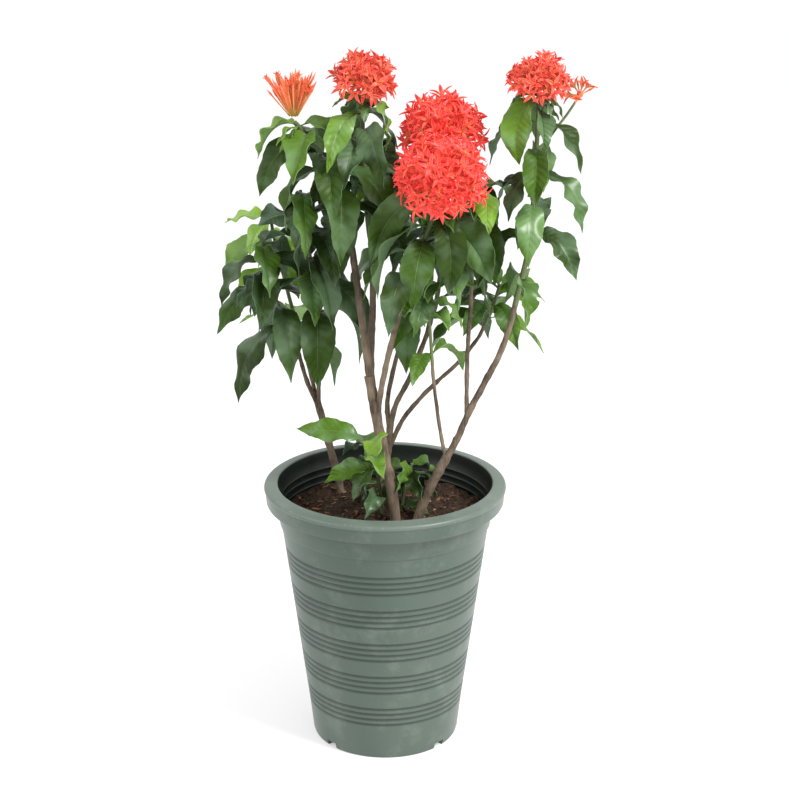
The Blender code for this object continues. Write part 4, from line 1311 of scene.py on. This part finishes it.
def add_stalk(bm, foot, length, radii, start, end, shade):
    """A tapered stalk or bud along Z of a place, whose ends carry a share of the petal's colour."""
    made = bmesh.ops.create_cone(bm, cap_ends=True, segments=STALK_SIDES, radius1=radii[0],
                                 radius2=radii[1], depth=length,
                                 matrix=foot @ Matrix.Translation((0, 0, length / 2)))["verts"]
    along, tint = bm.verts.layers.float["along"], bm.verts.layers.float["tint"]
    low = sorted(made, key=lambda vertex: (foot.inverted() @ vertex.co).z)
    for number, vertex in enumerate(low):
        vertex[along] = start if number < STALK_SIDES else end
        vertex[tint] = shade


def fill_head(name, bm, settings, draw):
    """The head's core, its florets on their tubes, and its buds."""
    head, centre = HEADS[name], head_centre(name)
    sunk = head.radius * max(head.lift, FLORET_ROOT)
    middle = centre + Vector(head.axis).normalized() * head.radius * (head.lift + CORE_LIFT)
    closed, spread = CLOSED_ANGLES.get(name, 0.0), FLORET_SPREAD.get(name, 1.0)
    meshes = [floret_mesh(head, angle + closed, settings.petal) for angle in PETAL_ANGLES]
    made = bmesh.ops.create_icosphere(bm, subdivisions=3, radius=head.radius * head.core * CORE_SHARE,
                                      matrix=Matrix.Translation(middle))["verts"]
    for vertex in made:
        vertex[bm.verts.layers.float["tint"]] = 0.5
        vertex[bm.verts.layers.float["along"]] = 1.0 if head.buds < head.florets else 0.0
    for out in dome(head, head.florets, 0.0, draw, spread):
        reach = head.radius * FLORET_REACH.get(name, 1.0)
        reach *= draw.choice(FLORET_TIERS) * (1 + LUMPS * noise.noise(out * 2.6 + centre * 90))
        lay = upright(out)
        turn = Matrix.Rotation(draw.uniform(0, math.pi / 2), 4, "Z")
        tilt = Matrix.Rotation(draw.uniform(-0.28, 0.28), 4, (draw.random(), draw.random(), 0))
        top = Matrix.Translation(centre + out * reach) @ lay @ tilt @ turn
        put_mesh(bm, draw.choice(meshes), top, draw.random())
        foot = Matrix.Translation(centre + out * sunk) @ lay
        add_stalk(bm, foot, reach - sunk + 0.0004, TUBE_RADII, 0.0, 0.4, draw.random())
    for out in dome(head, head.buds, 1.9, draw, spread):
        lay = upright(out)
        stalk = head.radius * draw.uniform(*BUD_REACH) - sunk
        shade, gone = draw.random(), sunk
        for length, radii, start, end in ((stalk, BUD_STALK_RADII, 0.0, 0.4), *BUD_PARTS):
            foot = Matrix.Translation(centre + out * gone) @ lay
            add_stalk(bm, foot, length, radii, start, end, shade)
            gone += length
    for mesh in meshes:
        bpy.data.meshes.remove(mesh)


class IXORA_OT_heads(bpy.types.Operator):
    """Fill each flower head with star florets and buds on their stalks"""

    bl_idname = "ixora.heads"
    bl_label = "Flower heads"

    def execute(self, context):
        settings = context.scene.ixora_heads
        foot = settings.tube_foot
        red = petal_finish("red_petal", settings.red, settings.red_throat, foot, 0.2)
        coral = petal_finish("coral_petal", settings.coral, settings.coral_throat, foot, 0.45)
        orange = petal_finish("orange_petal", settings.orange, settings.orange_throat,
                              settings.green_foot, 0.6)
        green = shoot_finish(context.scene.ixora_plant)
        for name in HEADS:
            draw = random.Random(f"{SEED} head {name}")
            bm = bmesh.new()
            bm.verts.layers.float.new("along")
            bm.verts.layers.float.new("tint")
            if name == "twig":
                _, stalk = split_below_head([Vector(point) for point in TWIG], "twig")
                radius = TWIG_RADII[1]
            else:
                stalk, radius = cane_parts(name)[2], CANES[name].tip
            sweep(bm, smooth_route(stalk, 3), (radius, radius), 10, finish=1, tint=0.9)
            fill_head(name, bm, settings, draw)
            petals, slot = red, "red_floret"
            if name in ("coral", "flame"):
                petals = coral
            elif name in ("amber", "twig"):
                petals, slot = orange, "orange_floret"
            add_piece("florets_" + name, bm, [petals, green], ["head_" + name], slot, 60)
        return {"FINISHED"}


# The stage


def add_lamp(name, place, size, power):
    lamp = bpy.data.lights.new(name, "AREA")
    lamp.shape = "SQUARE"
    lamp.size = size
    lamp.energy = power
    made = bpy.data.objects.new(name, lamp)
    made.location = place
    made.rotation_euler = (Vector(LAMP_AIM) - Vector(place)).to_track_quat("-Z", "Y").to_euler()
    bpy.context.scene.collection.objects.link(made)


class IXORA_OT_stage(bpy.types.Operator):
    """Lay the floor, light it softly and stand the camera where the photograph was taken"""

    bl_idname = "ixora.stage"
    bl_label = "Stage"

    def execute(self, context):
        settings = context.scene.ixora_stage
        bm = bmesh.new()
        bmesh.ops.create_grid(bm, x_segments=1, y_segments=1, size=FLOOR_REACH)
        mesh = as_mesh(bm, "floor")
        finish = Finish("pale_floor", 0.9, Base_Color=settings.floor[:], Specular_IOR_Level=0.1,
                        Emission_Color=(1, 1, 1), Emission_Strength=settings.glow)
        mesh.materials.append(finish.material)
        floor = bpy.data.objects.new("floor", mesh)
        context.scene.collection.objects.link(floor)
        world = bpy.data.worlds.new("even light")
        world.use_nodes = True
        background = world.node_tree.nodes["Background"]
        background.inputs["Color"].default_value = (1, 1, 1, 1)
        background.inputs["Strength"].default_value = settings.sky
        context.scene.world = world
        context.scene.view_settings.view_transform = "Standard"
        for name, (place, size, share) in LAMPS.items():
            add_lamp(name, place, size, settings.lamp * share)
        camera = bpy.data.cameras.new("camera")
        camera.lens = CAMERA_LENS
        camera.sensor_width = SENSOR_WIDTH
        made = bpy.data.objects.new("camera", camera)
        made.location = CAMERA_PLACE
        made.rotation_euler = (math.pi / 2 - CAMERA_PITCH, 0, 0)
        context.scene.collection.objects.link(made)
        context.scene.camera = made
        return {"FINISHED"}


class IXORA_PT_panel(bpy.types.Panel):
    """The ixora's pieces in the sidebar"""

    bl_idname = "IXORA_PT_panel"
    bl_label = "Ixora"
    bl_space_type = "VIEW_3D"
    bl_region_type = "UI"
    bl_category = "Ixora"

    def draw(self, context):
        for operator in OPERATORS:
            self.layout.operator(operator.bl_idname)
        for name, group in SETTINGS.items():
            box = self.layout.box()
            for prop in group.__annotations__:
                box.prop(getattr(context.scene, name), prop)


SETTINGS = {
    "ixora_pot": PotSettings,
    "ixora_soil": SoilSettings,
    "ixora_plant": PlantSettings,
    "ixora_heads": HeadSettings,
    "ixora_stage": StageSettings,
}
OPERATORS = (IXORA_OT_pot, IXORA_OT_soil, IXORA_OT_canes, IXORA_OT_shoots, IXORA_OT_heads,
             IXORA_OT_stage)


def register():
    for made in (*SETTINGS.values(), *OPERATORS, IXORA_PT_panel):
        bpy.utils.register_class(made)
    for name, group in SETTINGS.items():
        setattr(bpy.types.Scene, name, PointerProperty(type=group))


def unregister():
    for name in SETTINGS:
        delattr(bpy.types.Scene, name)
    for made in (IXORA_PT_panel, *reversed(OPERATORS), *SETTINGS.values()):
        bpy.utils.unregister_class(made)


def main():
    register()
    bpy.ops.ixora.pot()
    bpy.ops.ixora.soil()
    bpy.ops.ixora.canes()
    bpy.ops.ixora.shoots()
    bpy.ops.ixora.heads()
    bpy.ops.ixora.stage()


if __name__ == "__main__":
    main()
